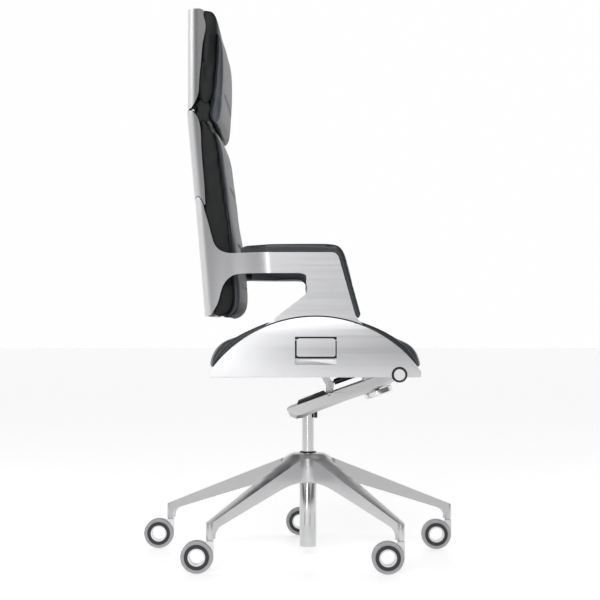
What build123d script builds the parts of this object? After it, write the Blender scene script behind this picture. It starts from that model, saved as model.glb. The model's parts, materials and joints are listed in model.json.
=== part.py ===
from build123d import *
import os
from math import acos, atan2, cos, degrees, radians, sin, sqrt, tan

os.makedirs("parts", exist_ok=True)

# ---------------------------------------------------------------------------
# Frame: +X is the front of the chair, +Y its left side, +Z up.
# Origin: on the column axis, at floor level.  All sizes in millimetres.
# ---------------------------------------------------------------------------

# five-star base
STAR_ARMS = 5
STAR_ANGLE = 88.5          # direction of the first arm, degrees from +X
STEM_CIRCLE = 359.0        # radius of the circle through the caster stems
HUB_TOP = 243.0
HUB_BOTTOM = 178.0
HUB_R = 30.0
ARM_TIP_BOTTOM = 75.0

# gas column
STAND_R, STAND_BORE = 20.0, 17.5
STAND_BOTTOM = 20.0
TUBE_R, TUBE_BORE = 14.0, 11.5
TUBE_BOTTOM, TUBE_TOP = 140.0, 361.0
ROD_R = 5.0
RUN = 0.05                 # radial clearance of every running fit

# casters
WHEEL_R = 36.0
WHEEL_BORE = 26.5
CASTER_HOLE = 16.0
CASTER_TRAIL = 28.7
CASTER_HALF = 14.2

# tilt mechanism
P1 = (200.0, 439.0)        # front pivot axle, X and Z
SLOPE = 19.7               # rise of the carrier bar, degrees
AXLE_R = 9.0
ROCKER_PIVOT = (50.5, 384.0)
ROCKER_NOSE = (26.0, 451.0)
DAMPER_EYE = (53.7, 409.2)
DAMPER_LEN = 95.0          # eye to anchor pin
KNOB_TOP = (167.0, 394.6)  # centre of the tension knob's upper face

# seat
ARC_C = (15.0, 283.0)      # centre of the seat arc, X and Z
ARC_R = 284.0
SEAT_BOTTOM = 433.0
SEAT_REAR, SEAT_FRONT = -219.0, 248.0
SIDE_OUT = 310.0           # half width over the side panels and arms
PANEL_T = 14.0
PAN_BOTTOM, PAN_TOP = 462.0, 472.0

# back
BACK_HALF = 240.0          # half width of the back shells
SHELL_T = 4.0
ARM_T = 6.0
LEAN_LOW = 0.0858          # rearward lean of the lower shell, mm per mm
LEAN_MID = 0.0912
REAR_LOW = -233.2          # rear face of the lower shell at Z_LOW
Z_LOW = 570.0
REAR_MID = -256.9          # rear face of the middle shell at Z_MID
Z_MID = 837.0
REAR_HEAD = -272.8
HEAD_PIVOT = (-262.0, 1036.0)

E = (cos(radians(SLOPE)), sin(radians(SLOPE)))      # along the carrier bar
N = (-E[1], E[0])                                    # square to it, upwards


def along(point, t, n=0.0):
    """Point t along the bar direction and n above it."""
    return (point[0] + t * E[0] + n * N[0], point[1] + t * E[1] + n * N[1])


def arc_point(radius, angle):
    """Point on a circle about the seat arc centre, angle from +X."""
    return (
        ARC_C[0] + radius * cos(radians(angle)),
        ARC_C[1] + radius * sin(radians(angle)),
    )


def side_plane(y):
    """Vertical plane at y, local x along +X, local y along +Z, facing -Y."""
    return Plane(origin=(0, y, 0), x_dir=(1, 0, 0), z_dir=(0, -1, 0))


# ===========================================================================
# Base: star, column outer tube and its bearings
# ===========================================================================

def turned(x, y, angle):
    """Plan point turned about the column axis."""
    c, s = cos(radians(angle)), sin(radians(angle))
    return (x * c - y * s, x * s + y * c)


# star: plan outline with rounded inner corners, cut to the turned arm profile
with BuildPart() as star_base:
    with BuildSketch(Plane.XY.offset(60)):
        with BuildLine():
            for i in range(STAR_ARMS):
                t = STAR_ANGLE + 360.0 / STAR_ARMS * i
                Line(turned(60.13, -24.5, t), turned(STEM_CIRCLE, -8.5, t))
                ThreePointArc(
                    turned(STEM_CIRCLE, -8.5, t), turned(STEM_CIRCLE + 8.5, 0, t), turned(STEM_CIRCLE, 8.5, t)
                )
                Line(turned(STEM_CIRCLE, 8.5, t), turned(60.13, 24.5, t))
                ThreePointArc(
                    turned(60.13, 24.5, t), turned(55.6, 0, t + 36), turned(60.13, -24.5, t + 72)
                )
        make_face()
    extrude(amount=200)
    with BuildSketch(Plane.XZ):
        with BuildLine():
            l1 = Line((0, HUB_TOP), (34, HUB_TOP))
            l2 = Spline((34, HUB_TOP), (50, 236.5), (67, 228.5), tangents=((1, 0), (1, -0.3987)))
            l3 = Line(l2 @ 1, (368.5, 108.3))
            l4 = Line((368.5, 108.3), (368.5, ARM_TIP_BOTTOM))
            l5 = Line((368.5, ARM_TIP_BOTTOM), (350.5, ARM_TIP_BOTTOM))
            l6 = Spline((350.5, ARM_TIP_BOTTOM), (346, 92), (330, 102.5), tangents=((0, 1), (-1, 0.32)))
            l7 = Line((330, 102.5), (133, 165.0))
            l8 = Spline((133, 165.0), (80, 176), (30, HUB_BOTTOM), tangents=((-1, 0.317), (-1, 0)))
            l9 = Line((30, HUB_BOTTOM), (0, HUB_BOTTOM))
            l10 = Line((0, HUB_BOTTOM), (0, HUB_TOP))
        make_face()
    revolve(axis=Axis.Z, mode=Mode.INTERSECT)
    # bore for the column
    with BuildSketch(Plane.XY.offset(HUB_BOTTOM - 10)):
        Circle(STAND_R)
    extrude(amount=HUB_TOP - HUB_BOTTOM + 20, mode=Mode.SUBTRACT)
    # sockets for the caster stems
    with BuildSketch(Plane.XY.offset(ARM_TIP_BOTTOM - 5)):
        with PolarLocations(STEM_CIRCLE, STAR_ARMS, start_angle=STAR_ANGLE):
            Circle(5.0)
    extrude(amount=5 + 25, mode=Mode.SUBTRACT)
star_base.part.label = "star_base"
export_step(star_base.part, "parts/star_base.step")

with BuildPart() as stand_tube:
    with BuildSketch(Plane.XY.offset(STAND_BOTTOM)):
        Circle(STAND_R)
        Circle(STAND_BORE, mode=Mode.SUBTRACT)
    extrude(amount=HUB_TOP + 1 - STAND_BOTTOM)
    chamfer(stand_tube.edges().filter_by(GeomType.CIRCLE).group_by(Axis.Z)[0], 0.8)
stand_tube.part.label = "stand_tube"
export_step(stand_tube.part, "parts/stand_tube.step")

with BuildPart() as guide_bush:
    with BuildSketch(Plane.XY.offset(188)):
        Circle(STAND_BORE)
        Circle(TUBE_R + RUN, mode=Mode.SUBTRACT)
    extrude(amount=HUB_TOP + 1 - 188)
    with BuildSketch(Plane.XY.offset(HUB_TOP + 1)):
        Circle(STAND_R)
        Circle(TUBE_R + RUN, mode=Mode.SUBTRACT)
    extrude(amount=3)
    chamfer(guide_bush.edges().filter_by(GeomType.CIRCLE).sort_by(Axis.Z)[-2:].sort_by(SortBy.RADIUS)[-1], 1.5)
guide_bush.part.label = "guide_bush"
export_step(guide_bush.part, "parts/guide_bush.step")

with BuildPart() as bottom_plate:
    with BuildSketch(Plane.XY.offset(25)):
        Circle(STAND_BORE)
        Circle(ROD_R + RUN, mode=Mode.SUBTRACT)
    extrude(amount=6)
bottom_plate.part.label = "bottom_plate"
export_step(bottom_plate.part, "parts/bottom_plate.step")

# caster stems, pressed into the arm tips, with a friction collar each
with BuildPart() as caster_stems:
    with BuildSketch(Plane.XY.offset(64.5)):
        with PolarLocations(STEM_CIRCLE, STAR_ARMS, start_angle=STAR_ANGLE):
            Circle(5.0)
    extrude(amount=34.5)
    with BuildSketch(Plane.XY.offset(72.0)):
        with PolarLocations(STEM_CIRCLE, STAR_ARMS, start_angle=STAR_ANGLE):
            Circle(7.2)
    extrude(amount=3.0)
caster_stems.part.label = "caster_stems"
export_step(caster_stems.part, "parts/caster_stems.step")

# piston rod: held at the foot by the bottom plate, piston inside the gas tube
with BuildPart() as piston_rod:
    with BuildSketch(Plane.XY.offset(21)):
        Circle(ROD_R)
    extrude(amount=176)
    with BuildSketch(Plane.XY.offset(21.5)):      # clip under the plate
        Circle(9)
    extrude(amount=3.2)
    with BuildSketch(Plane.XY.offset(31.3)):      # thrust shoulder over the plate
        Circle(9)
    extrude(amount=4)
    with BuildSketch(Plane.XY.offset(186)):       # piston
        Circle(TUBE_BORE - RUN)
    extrude(amount=11)
piston_rod.part.label = "piston_rod"
export_step(piston_rod.part, "parts/piston_rod.step")

# ===========================================================================
# Casters: hubless twin wheels on a ring body that trails behind the stem
# ===========================================================================
for i in range(STAR_ARMS):
    angle = radians(STAR_ANGLE + 360.0 / STAR_ARMS * i)
    sx, sy = STEM_CIRCLE * cos(angle), STEM_CIRCLE * sin(angle)
    cx, cz = sx - CASTER_TRAIL, WHEEL_R
    n = i + 1

    with BuildPart() as caster_body:
        # central web: ring and tail
        with BuildSketch(side_plane(sy)):
            with Locations((cx, cz)):
                Circle(33)
            with Locations((cx + 4, cz)):
                Circle(33)
            with Locations((cx + 29, cz + 17.5)):
                Rectangle(16, 35)
        extrude(amount=2.8, both=True)
        # head block that carries the stem, clear of the wheels
        with BuildSketch(side_plane(sy)):
            with Locations((cx + 28.7, cz + 22.5)):
                Rectangle(16.6, 25)
            with Locations((cx, cz)):
                Circle(WHEEL_R + 1.0, mode=Mode.SUBTRACT)
        extrude(amount=8.0, both=True)
        # sleeve under the bearing rings
        with BuildSketch(side_plane(sy)):
            with Locations((cx, cz)):
                Circle(19.5)
        extrude(amount=CASTER_HALF, both=True)
        with BuildSketch(side_plane(sy)):
            with Locations((cx, cz)):
                Circle(CASTER_HOLE)
        extrude(amount=CASTER_HALF + 5, both=True, mode=Mode.SUBTRACT)
        # stem bore
        with BuildSketch(Plane.XY.offset(64.2)):
            with Locations((sx, sy)):
                Circle(5.0 + RUN)
        extrude(amount=20, mode=Mode.SUBTRACT)
    caster_body.part.label = f"caster_{n}_body"
    export_step(caster_body.part, f"parts/caster_{n}_body.step")

    # bearing rings, one each side of the web, with a retaining lip
    with BuildPart() as caster_bush:
        for side in (-1, 1):
            with BuildSketch(side_plane(sy + side * 2.8)):
                with Locations((cx, cz)):
                    Circle(WHEEL_BORE)
                    Circle(19.5, mode=Mode.SUBTRACT)
            extrude(amount=-side * (CASTER_HALF - 2.8))
            with BuildSketch(side_plane(sy + side * (CASTER_HALF - 1.0))):
                with Locations((cx, cz)):
                    Circle(WHEEL_BORE + 1.4)
                    Circle(20.5, mode=Mode.SUBTRACT)
            extrude(amount=-side * 1.0)
    caster_bush.part.label = f"caster_{n}_rings"
    export_step(caster_bush.part, f"parts/caster_{n}_rings.step")

    for side, tag in ((-1, "right"), (1, "left")):
        with BuildPart() as wheel:
            with BuildSketch(side_plane(sy + side * 3.3)):
                with Locations((cx, cz)):
                    Circle(WHEEL_R)
                    Circle(WHEEL_BORE + RUN, mode=Mode.SUBTRACT)
            extrude(amount=-side * 9.4)
            rims = wheel.edges().filter_by(GeomType.CIRCLE).filter_by(
                lambda e: abs(e.radius - WHEEL_R) < 0.1
            )
            fillet(rims, 2.2)
        wheel.part.label = f"caster_{n}_wheel_{tag}"
        export_step(wheel.part, f"parts/caster_{n}_wheel_{tag}.step")

# ===========================================================================
# Column and carrier bar
# ===========================================================================
with BuildPart() as gas_tube:
    with BuildSketch(Plane.XY.offset(TUBE_BOTTOM)):
        Circle(TUBE_R)
    extrude(amount=TUBE_TOP - TUBE_BOTTOM)
    with BuildSketch(Plane.XY.offset(TUBE_BOTTOM + 12)):
        Circle(TUBE_BORE)
    extrude(amount=TUBE_TOP - TUBE_BOTTOM - 24, mode=Mode.SUBTRACT)
    with BuildSketch(Plane.XY.offset(TUBE_BOTTOM - 1)):
        Circle(ROD_R + RUN)
    extrude(amount=15, mode=Mode.SUBTRACT)
    with BuildSketch(Plane.XY.offset(TUBE_TOP)):   # valve button
        Circle(3.5)
    extrude(amount=5)
gas_tube.part.label = "gas_tube"
export_step(gas_tube.part, "parts/gas_tube.step")

with BuildPart() as carrier_bar:
    with BuildSketch(Plane.XZ):
        with BuildLine():
            Polyline(
                (-50, 348.5), (-43, 353.5), (-25.7, 359.6), (158, 425.4), (181, 440),
            )
            ThreePointArc((181, 440), (200, 456.5), (217.5, 439))
            Polyline(
                (217.5, 439), (213, 424), (203, 413.5), (192, 407.5), (134.4, 384.5), (89, 368.4),
                (18.4, 341.8), (-11.8, 329.0), (-27.4, 326.2), (-42, 331.7), (-50, 348.5),
            )
        make_face()
    extrude(amount=44, both=True)
    low = carrier_bar.edges().filter_by(Axis.Y, reverse=True).filter_by(
        lambda e: abs(abs(e.center().Y) - 44) < 0.1
        and e.center().X > -47
        and e.center().X < 197
        and e.center().Z < 343 + 0.3546 * e.center().X
    )
    chamfer(low, 8, 12)
    # channel for the linkage, open at the top
    floor = along((60, 357.9), 0, 9)
    with BuildSketch(Plane.XZ):
        with BuildLine():
            Polyline(
                along(floor, -36), along(floor, 108), along(floor, 108, 40), along(floor, -36, 40),
                close=True,
            )
        make_face()
    extrude(amount=31, both=True, mode=Mode.SUBTRACT)
    # ears for the damper anchor
    anchor = along(DAMPER_EYE, DAMPER_LEN)
    with BuildSketch(Plane.XZ):
        with Locations(anchor):
            Circle(8)
        with BuildLine():
            Polyline(
                (anchor[0] - 8, anchor[1]), (anchor[0] + 8, anchor[1]), (anchor[0] + 14, 412),
                (anchor[0] - 14, 402), close=True,
            )
        make_face()
    extrude(amount=38, both=True)
    with BuildSketch(Plane.XZ):
        with BuildLine():
            Polyline(
                (anchor[0] - 30, anchor[1] + 20), (anchor[0] + 18, anchor[1] + 20),
                along(floor, 108), along(floor, 60), close=True,
            )
        make_face()
    extrude(amount=31, both=True, mode=Mode.SUBTRACT)
    # bores: column, axle, rocker pin, damper pin, tension screw
    with BuildSketch(Plane.XY.offset(300)):
        Circle(TUBE_R)
    extrude(amount=90, mode=Mode.SUBTRACT)
    with BuildSketch(Plane.XZ):
        with Locations(P1):
            Circle(AXLE_R)
        with Locations(ROCKER_PIVOT, anchor):
            Circle(4.0)
    extrude(amount=60, both=True, mode=Mode.SUBTRACT)
    with BuildSketch(Plane(origin=(KNOB_TOP[0], 0, KNOB_TOP[1]), x_dir=(0, 1, 0), z_dir=(N[0], 0, N[1]))):
        Circle(6.0 + RUN)
    extrude(amount=40, mode=Mode.SUBTRACT)
carrier_bar.part.label = "carrier_bar"
export_step(carrier_bar.part, "parts/carrier_bar.step")

# cover over the column head, notched at the front for the rocker
with BuildPart() as carrier_cover:
    top0, top1 = (-25.7, 359.6), (43.5, 384.4)
    with BuildSketch(Plane.XZ):
        with BuildLine():
            Polyline(
                (-25.7, 360.4), (-22.8, 367.4), (37.9, 391.2), (44.1, 385.4), close=True,
            )
        make_face()
    extrude(amount=40, both=True)
    with BuildSketch(Plane.XZ):
        with BuildLine():
            Polyline((-16.0, 360.5), (-15.5, 366.5), (30, 384.4), (30, 376.0), close=True)
        make_face()
    extrude(amount=34, both=True, mode=Mode.SUBTRACT)
    with BuildSketch(Plane.XY.offset(340)):
        with Locations((34, 0)):
            Rectangle(44, 36)
    extrude(amount=80, mode=Mode.SUBTRACT)
carrier_cover.part.label = "carrier_cover"
export_step(carrier_cover.part, "parts/carrier_cover.step")

# valve actuator block under the bar, in front of the tube
with BuildPart() as valve_actuator:
    with BuildSketch(Plane.XZ):
        with BuildLine():
            Polyline((14.6, 327.5), (22.5, 327.5), (22.5, 342.6), (14.6, 339.4), close=True)
        make_face()
    extrude(amount=11, both=True)
valve_actuator.part.label = "valve_actuator"
export_step(valve_actuator.part, "parts/valve_actuator.step")

with BuildPart() as front_axle:
    with BuildSketch(Plane.XZ):
        with Locations(P1):
            Circle(AXLE_R)
            Circle(5.0, mode=Mode.SUBTRACT)
    extrude(amount=SIDE_OUT + 0.6, both=True)
front_axle.part.label = "front_axle"
export_step(front_axle.part, "parts/front_axle.step")

with BuildPart() as pivot_rings:
    for side in (-1, 1):
        with BuildSketch(side_plane(side * (SIDE_OUT + 0.6))):
            with Locations(P1):
                Circle(15.6)
        extrude(amount=-side * 2.6)
        ends = pivot_rings.edges().filter_by(GeomType.CIRCLE).filter_by(
            lambda e: abs(abs(e.center().Y) - SIDE_OUT - 3.2) < 0.1 and e.center().Y * side > 0
        )
        fillet(ends, 1.2)
pivot_rings.part.label = "pivot_rings"
export_step(pivot_rings.part, "parts/pivot_rings.step")

with BuildPart() as pivot_caps:
    for side in (-1, 1):
        with BuildSketch(side_plane(side * (SIDE_OUT + 3.2))):
            with Locations(P1):
                Circle(12.5)
        extrude(amount=-side * 1.8)
        ends = pivot_caps.edges().filter_by(GeomType.CIRCLE).filter_by(
            lambda e: abs(abs(e.center().Y) - SIDE_OUT - 5.0) < 0.1 and e.center().Y * side > 0
        )
        fillet(ends, 0.9)
pivot_caps.part.label = "pivot_caps"
export_step(pivot_caps.part, "parts/pivot_caps.step")

with BuildPart() as linkage_pins:
    with BuildSketch(Plane.XZ):
        with Locations(ROCKER_PIVOT, anchor):
            Circle(4.0)
    extrude(amount=38, both=True)
linkage_pins.part.label = "linkage_pins"
export_step(linkage_pins.part, "parts/linkage_pins.step")

# damper cylinder: lies along the bar, eye at the front on the anchor pin
damper_start = along(DAMPER_EYE, 10)
with BuildPart() as damper_tube:
    with BuildSketch(Plane(origin=(damper_start[0], 0, damper_start[1]), x_dir=(0, 1, 0), z_dir=(E[0], 0, E[1]))):
        Circle(7.0)
    extrude(amount=78)
    with BuildSketch(Plane.XZ):
        with Locations(anchor):
            Circle(8.0)
    extrude(amount=7, both=True)
    with BuildSketch(Plane.XZ):
        with Locations(anchor):
            Circle(4.0)
    extrude(amount=10, both=True, mode=Mode.SUBTRACT)
    with BuildSketch(Plane(origin=(damper_start[0], 0, damper_start[1]), x_dir=(0, 1, 0), z_dir=(E[0], 0, E[1])).offset(6)):
        Circle(5.0)
    extrude(amount=64, mode=Mode.SUBTRACT)
    with BuildSketch(Plane(origin=(damper_start[0], 0, damper_start[1]), x_dir=(0, 1, 0), z_dir=(E[0], 0, E[1])).offset(-1)):
        Circle(3.5 + RUN)
    extrude(amount=10, mode=Mode.SUBTRACT)
damper_tube.part.label = "damper_tube"
export_step(damper_tube.part, "parts/damper_tube.step")

# damper rod with its eye on the rocker
with BuildPart() as damper_rod:
    with BuildSketch(Plane(origin=(DAMPER_EYE[0], 0, DAMPER_EYE[1]), x_dir=(0, 1, 0), z_dir=(E[0], 0, E[1]))):
        Circle(3.5)
    extrude(amount=72)
    with BuildSketch(Plane(origin=(along(DAMPER_EYE, 66)[0], 0, along(DAMPER_EYE, 66)[1]), x_dir=(0, 1, 0), z_dir=(E[0], 0, E[1]))):
        Circle(4.95)
    extrude(amount=6)
    with BuildSketch(Plane.XZ):
        with Locations(DAMPER_EYE):
            Circle(6.5)
    extrude(amount=5, both=True)
    with BuildSketch(Plane.XZ):
        with Locations(DAMPER_EYE):
            Circle(3.0)
    extrude(amount=10, both=True, mode=Mode.SUBTRACT)
damper_rod.part.label = "damper_rod"
export_step(damper_rod.part, "parts/damper_rod.step")

with BuildPart() as link_bolt:
    with BuildSketch(Plane.XZ):
        with Locations(DAMPER_EYE):
            Circle(3.0)
    extrude(amount=16, both=True)
    for side in (-1, 1):
        with BuildSketch(side_plane(side * 14.4)):
            with Locations(DAMPER_EYE):
                Circle(5.6)
        extrude(amount=-side * 2.6)
link_bolt.part.label = "link_bolt"
export_step(link_bolt.part, "parts/link_bolt.step")

# rocker link: clevis on the bar, its rounded nose under the seat pan
with BuildPart() as rocker_link:
    with BuildSketch(Plane.XZ):
        with BuildLine():
            Polyline(
                (42.5, 382.0), (43.5, 404.0), (33.0, 423.0), (18.8, 447.2), (33.6, 453.6),
                (53.5, 420.5), (62.0, 409.5), (60.3, 391.0), (58.8, 382.0), close=True,
            )
        make_face()
        with Locations(ROCKER_NOSE):
            Circle(8.0)
        with Locations(ROCKER_PIVOT):
            Circle(8.4)
    extrude(amount=14, both=True)
    # clevis slot for the damper eye
    with BuildSketch(Plane.XZ):
        with Locations(DAMPER_EYE):
            Circle(16)
    extrude(amount=5.6, both=True, mode=Mode.SUBTRACT)
    # long hole for the bolt
    toward = atan2(ROCKER_PIVOT[1] - DAMPER_EYE[1], ROCKER_PIVOT[0] - DAMPER_EYE[0])
    with BuildSketch(Plane.XZ):
        with Locations(DAMPER_EYE, (DAMPER_EYE[0] + 3.2 * cos(toward), DAMPER_EYE[1] + 3.2 * sin(toward))):
            Circle(3.9)
        with Locations((DAMPER_EYE[0] + 1.6 * cos(toward), DAMPER_EYE[1] + 1.6 * sin(toward))):
            Rectangle(3.2, 7.8, rotation=degrees(toward))
    extrude(amount=20, both=True, mode=Mode.SUBTRACT)
    with BuildSketch(Plane.XZ):
        with Locations(ROCKER_PIVOT):
            Circle(4.0 + RUN)
    extrude(amount=20, both=True, mode=Mode.SUBTRACT)
rocker_link.part.label = "rocker_link"
export_step(rocker_link.part, "parts/rocker_link.step")

# tension knob: a disc square to the bar, with its screw
with BuildPart() as tension_knob:
    with BuildSketch(Plane(origin=(KNOB_TOP[0], 0, KNOB_TOP[1]), x_dir=(0, 1, 0), z_dir=(-N[0], 0, -N[1]))):
        Circle(35.0)
    extrude(amount=13)
    rim = tension_knob.edges().filter_by(GeomType.CIRCLE).sort_by(Axis.Z)
    fillet(rim[0], 2.5)
    fillet(tension_knob.edges().filter_by(GeomType.CIRCLE).sort_by(Axis.Z)[-1], 1.0)
    with BuildSketch(Plane(origin=(KNOB_TOP[0], 0, KNOB_TOP[1]), x_dir=(0, 1, 0), z_dir=(N[0], 0, N[1]))):
        Circle(6.0)
    extrude(amount=16)
tension_knob.part.label = "tension_knob"
export_step(tension_knob.part, "parts/tension_knob.step")

# ===========================================================================
# Seat: segment-shaped side panels, pan, cushion and bolsters, flap levers
# ===========================================================================
FLAP_X0, FLAP_X1 = -26.3, 59.1
FLAP_Z0, FLAP_Z1 = 478.8, 518.9
POCKET_X0, POCKET_X1 = -30.2, 61.8
POCKET_Z0, POCKET_Z1 = 461.0, 522.4
POCKET_D = 9.0
FLAP_AXIS_Y, FLAP_AXIS_Z = 306.6, 515.4


def make_panel(side):
    """Side panel on one side of the seat: -1 right, +1 left."""
    a0 = degrees(acos((SEAT_REAR - ARC_C[0]) / ARC_R))
    a1 = degrees(acos((SEAT_FRONT - ARC_C[0]) / ARC_R))
    rear_top, front_top = arc_point(ARC_R, a0), arc_point(ARC_R, a1)
    with BuildPart() as panel:
        with BuildSketch(side_plane(side * (SIDE_OUT - PANEL_T))):
            with BuildLine():
                ThreePointArc(rear_top, arc_point(ARC_R, 90), front_top)
                Polyline(
                    front_top, (SEAT_FRONT, SEAT_BOTTOM), (SEAT_REAR, SEAT_BOTTOM), rear_top,
                )
            make_face()
        extrude(amount=-side * PANEL_T)
        ends = panel.edges().filter_by(Axis.Y)
        fillet(ends, 3.5)
        outer = panel.faces().sort_by(Axis.Y)[0 if side < 0 else -1]
        chamfer(outer.edges(), 0.8)
        # pivot boss seat
        with BuildSketch(side_plane(side * (SIDE_OUT - PANEL_T - 1))):
            with Locations(P1):
                Circle(17.5)
        extrude(amount=-side * (PANEL_T + 5), mode=Mode.SUBTRACT)
        # curved guide slot for the arm tongue
        with BuildSketch(side_plane(side * 300.3)):
            with BuildLine():
                CenterArc(ARC_C, 268.6, 80, 43)
                Line(arc_point(268.6, 123), arc_point(ARC_R + 3, 123))
                CenterArc(ARC_C, ARC_R + 3, 80, 43)
                Line(arc_point(268.6, 80), arc_point(ARC_R + 3, 80))
            make_face()
        extrude(amount=-side * 5.4, mode=Mode.SUBTRACT)
        # pocket for the flap lever, with a sloping finger scoop under it
        with BuildSketch(side_plane(side * (SIDE_OUT - POCKET_D))) as pocket:
            with Locations(((POCKET_X0 + POCKET_X1) / 2, (FLAP_Z0 - 1 + POCKET_Z1) / 2)):
                Rectangle(POCKET_X1 - POCKET_X0, POCKET_Z1 - FLAP_Z0 + 1)
            pocket_corners = [v for v in pocket.vertices() if abs(v.Z - POCKET_Z1) < 0.01]
            fillet(pocket_corners, 9.0)
        extrude(amount=-side * (POCKET_D + 3), mode=Mode.SUBTRACT)
        with BuildSketch(Plane(origin=(POCKET_X0, 0, 0), x_dir=(0, 1, 0), z_dir=(1, 0, 0))):
            with BuildLine():
                Polyline(
                    (side * (SIDE_OUT + 1), POCKET_Z0),
                    (side * (SIDE_OUT - 1.5), POCKET_Z0),
                    (side * (SIDE_OUT - POCKET_D), FLAP_Z0 - 4),
                    (side * (SIDE_OUT - POCKET_D), FLAP_Z0),
                    (side * (SIDE_OUT + 1), FLAP_Z0),
                    close=True,
                )
            make_face()
        extrude(amount=POCKET_X1 - POCKET_X0, mode=Mode.SUBTRACT)
        # holes for the flap pin
        with BuildSketch(Plane(origin=(POCKET_X0 - 5, 0, 0), x_dir=(0, 1, 0), z_dir=(1, 0, 0))):
            with Locations((side * FLAP_AXIS_Y, FLAP_AXIS_Z)):
                Circle(1.5)
        extrude(amount=POCKET_X1 - POCKET_X0 + 10, mode=Mode.SUBTRACT)
    return panel


side_panel_right = make_panel(-1)
side_panel_right.part.label = "side_panel_right"
export_step(side_panel_right.part, "parts/side_panel_right.step")
side_panel_left = make_panel(1)
side_panel_left.part.label = "side_panel_left"
export_step(side_panel_left.part, "parts/side_panel_left.step")

with BuildPart() as pivot_bosses:
    for side in (-1, 1):
        with BuildSketch(side_plane(side * (SIDE_OUT - PANEL_T - 6))):
            with Locations(P1):
                Circle(17.4)
                Circle(AXLE_R + RUN, mode=Mode.SUBTRACT)
        extrude(amount=-side * (PANEL_T + 6))
pivot_bosses.part.label = "pivot_bosses"
export_step(pivot_bosses.part, "parts/pivot_bosses.step")

with BuildPart() as flap_pins:
    for side in (-1, 1):
        with BuildSketch(Plane(origin=(POCKET_X0 - 4.5, 0, 0), x_dir=(0, 1, 0), z_dir=(1, 0, 0))):
            with Locations((side * FLAP_AXIS_Y, FLAP_AXIS_Z)):
                Circle(1.5)
        extrude(amount=POCKET_X1 - POCKET_X0 + 9)
flap_pins.part.label = "flap_pins"
export_step(flap_pins.part, "parts/flap_pins.step")


def make_flap(side):
    """Flap lever: a flush plate hung on a pin near its top edge."""
    with BuildPart() as flap:
        with BuildSketch(side_plane(side * (SIDE_OUT - 5.6))):
            with Locations(((FLAP_X0 + FLAP_X1) / 2, (FLAP_Z0 + FLAP_Z1) / 2)):
                Rectangle(FLAP_X1 - FLAP_X0, FLAP_Z1 - FLAP_Z0)
        extrude(amount=-side * 5.2)
        fillet(flap.edges().filter_by(Axis.Y).group_by(Axis.Z)[-1], 7.0)
        fillet(flap.edges().filter_by(Axis.Y).group_by(Axis.Z)[0], 5.0)
        back_top = flap.edges().filter_by(Axis.X).filter_by(
            lambda e: e.center().Z > FLAP_Z1 - 1 and abs(e.center().Y) < SIDE_OUT - 3
        )
        fillet(back_top, 2.0)
        with BuildSketch(Plane(origin=(FLAP_X0 - 5, 0, 0), x_dir=(0, 1, 0), z_dir=(1, 0, 0))):
            with Locations((side * FLAP_AXIS_Y, FLAP_AXIS_Z)):
                Circle(1.5 + RUN)
        extrude(amount=FLAP_X1 - FLAP_X0 + 10, mode=Mode.SUBTRACT)
    return flap


flap_right = make_flap(-1)
flap_right.part.label = "flap_lever_right"
export_step(flap_right.part, "parts/flap_lever_right.step")
flap_left = make_flap(1)
flap_left.part.label = "flap_lever_left"
export_step(flap_left.part, "parts/flap_lever_left.step")

with BuildPart() as seat_pan:
    with BuildSketch(Plane.XZ):
        with BuildLine():
            Polyline(
                (-196, PAN_TOP), (-204, 458), (-198, 452), (-188, PAN_BOTTOM), (218, PAN_BOTTOM),
                (228, 452), (234, 458), (226, PAN_TOP), close=True,
            )
        make_face()
    extrude(amount=SIDE_OUT - PANEL_T, both=True)
seat_pan.part.label = "seat_pan"
export_step(seat_pan.part, "parts/seat_pan.step")

# cushion: dished crown, rounded roll at the front and a smaller one at the rear
with BuildPart() as seat_cushion:
    with BuildSketch(Plane.XZ):
        with BuildLine():
            c1 = Spline(
                (-219.5, 444), (-224.2, 448), (-225, 456), (-220.4, 473.4), (-213.9, 487.6), (-204.4, 500.5), (-190.5, 510.6),
                (-172, 517.5), (-90, 542), (15, 551), (120, 541.5), (172, 527), (200, 516.5), (215, 510.6), (229.2, 503.2),
                (239.1, 494.4), (247, 483.4), (252, 470.5), (255, 458.5), (254.8, 450), (251, 446),
            )
            Polyline(
                (251, 446), (245.5, 448), (241.5, 452), (236.8, 458), (228.5, PAN_TOP + 0.3), (-198, PAN_TOP + 0.3),
                (-206.8, 458), (-212, 448), (-219.5, 444),
            )
        make_face()
    extrude(amount=282, both=True)
seat_cushion.part.label = "seat_cushion"
export_step(seat_cushion.part, "parts/seat_cushion.step")

# bolsters: padded rims along the inside of the two panels
with BuildPart() as seat_bolsters:
    for side in (-1, 1):
        with BuildSketch(side_plane(side * 282.4)):
            with BuildLine():
                Spline(
                    arc_point(288, 37.5), arc_point(294.2, 43), arc_point(296.4, 50), arc_point(295.6, 54.5), arc_point(294, 59),
                    arc_point(291.4, 67), arc_point(289.6, 76), arc_point(289, 90), arc_point(289.6, 104), arc_point(291.2, 113),
                    arc_point(293.2, 119.5), arc_point(296.0, 125), arc_point(297.0, 131), arc_point(294.6, 137.5), arc_point(288, 143.5),
                )
                Polyline(
                    arc_point(288, 143.5), (-207, 456), (-199, PAN_TOP + 0.3), (229, PAN_TOP + 0.3), (237, 456),
                    arc_point(288, 37.5),
                )
            make_face()
        extrude(amount=-side * 13.4)
seat_bolsters.part.label = "seat_bolsters"
export_step(seat_bolsters.part, "parts/seat_bolsters.step")

# ===========================================================================
# Back: lower shell with the arms, middle shell, upholstery, arm pads
# ===========================================================================
FLARE_X0, FLARE_X1 = -74.0, REAR_LOW + 24.0      # at Z_LOW


def low_contour(inset):
    """Half plan outline of the lower shell and arm (right side), at Z_LOW,
    moved inwards by inset."""
    y_arm = -(SIDE_OUT - inset)
    y_back = -(BACK_HALF - inset)
    k = 62.0
    shift = inset * 0.40
    return y_arm, y_back, k, shift


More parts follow.
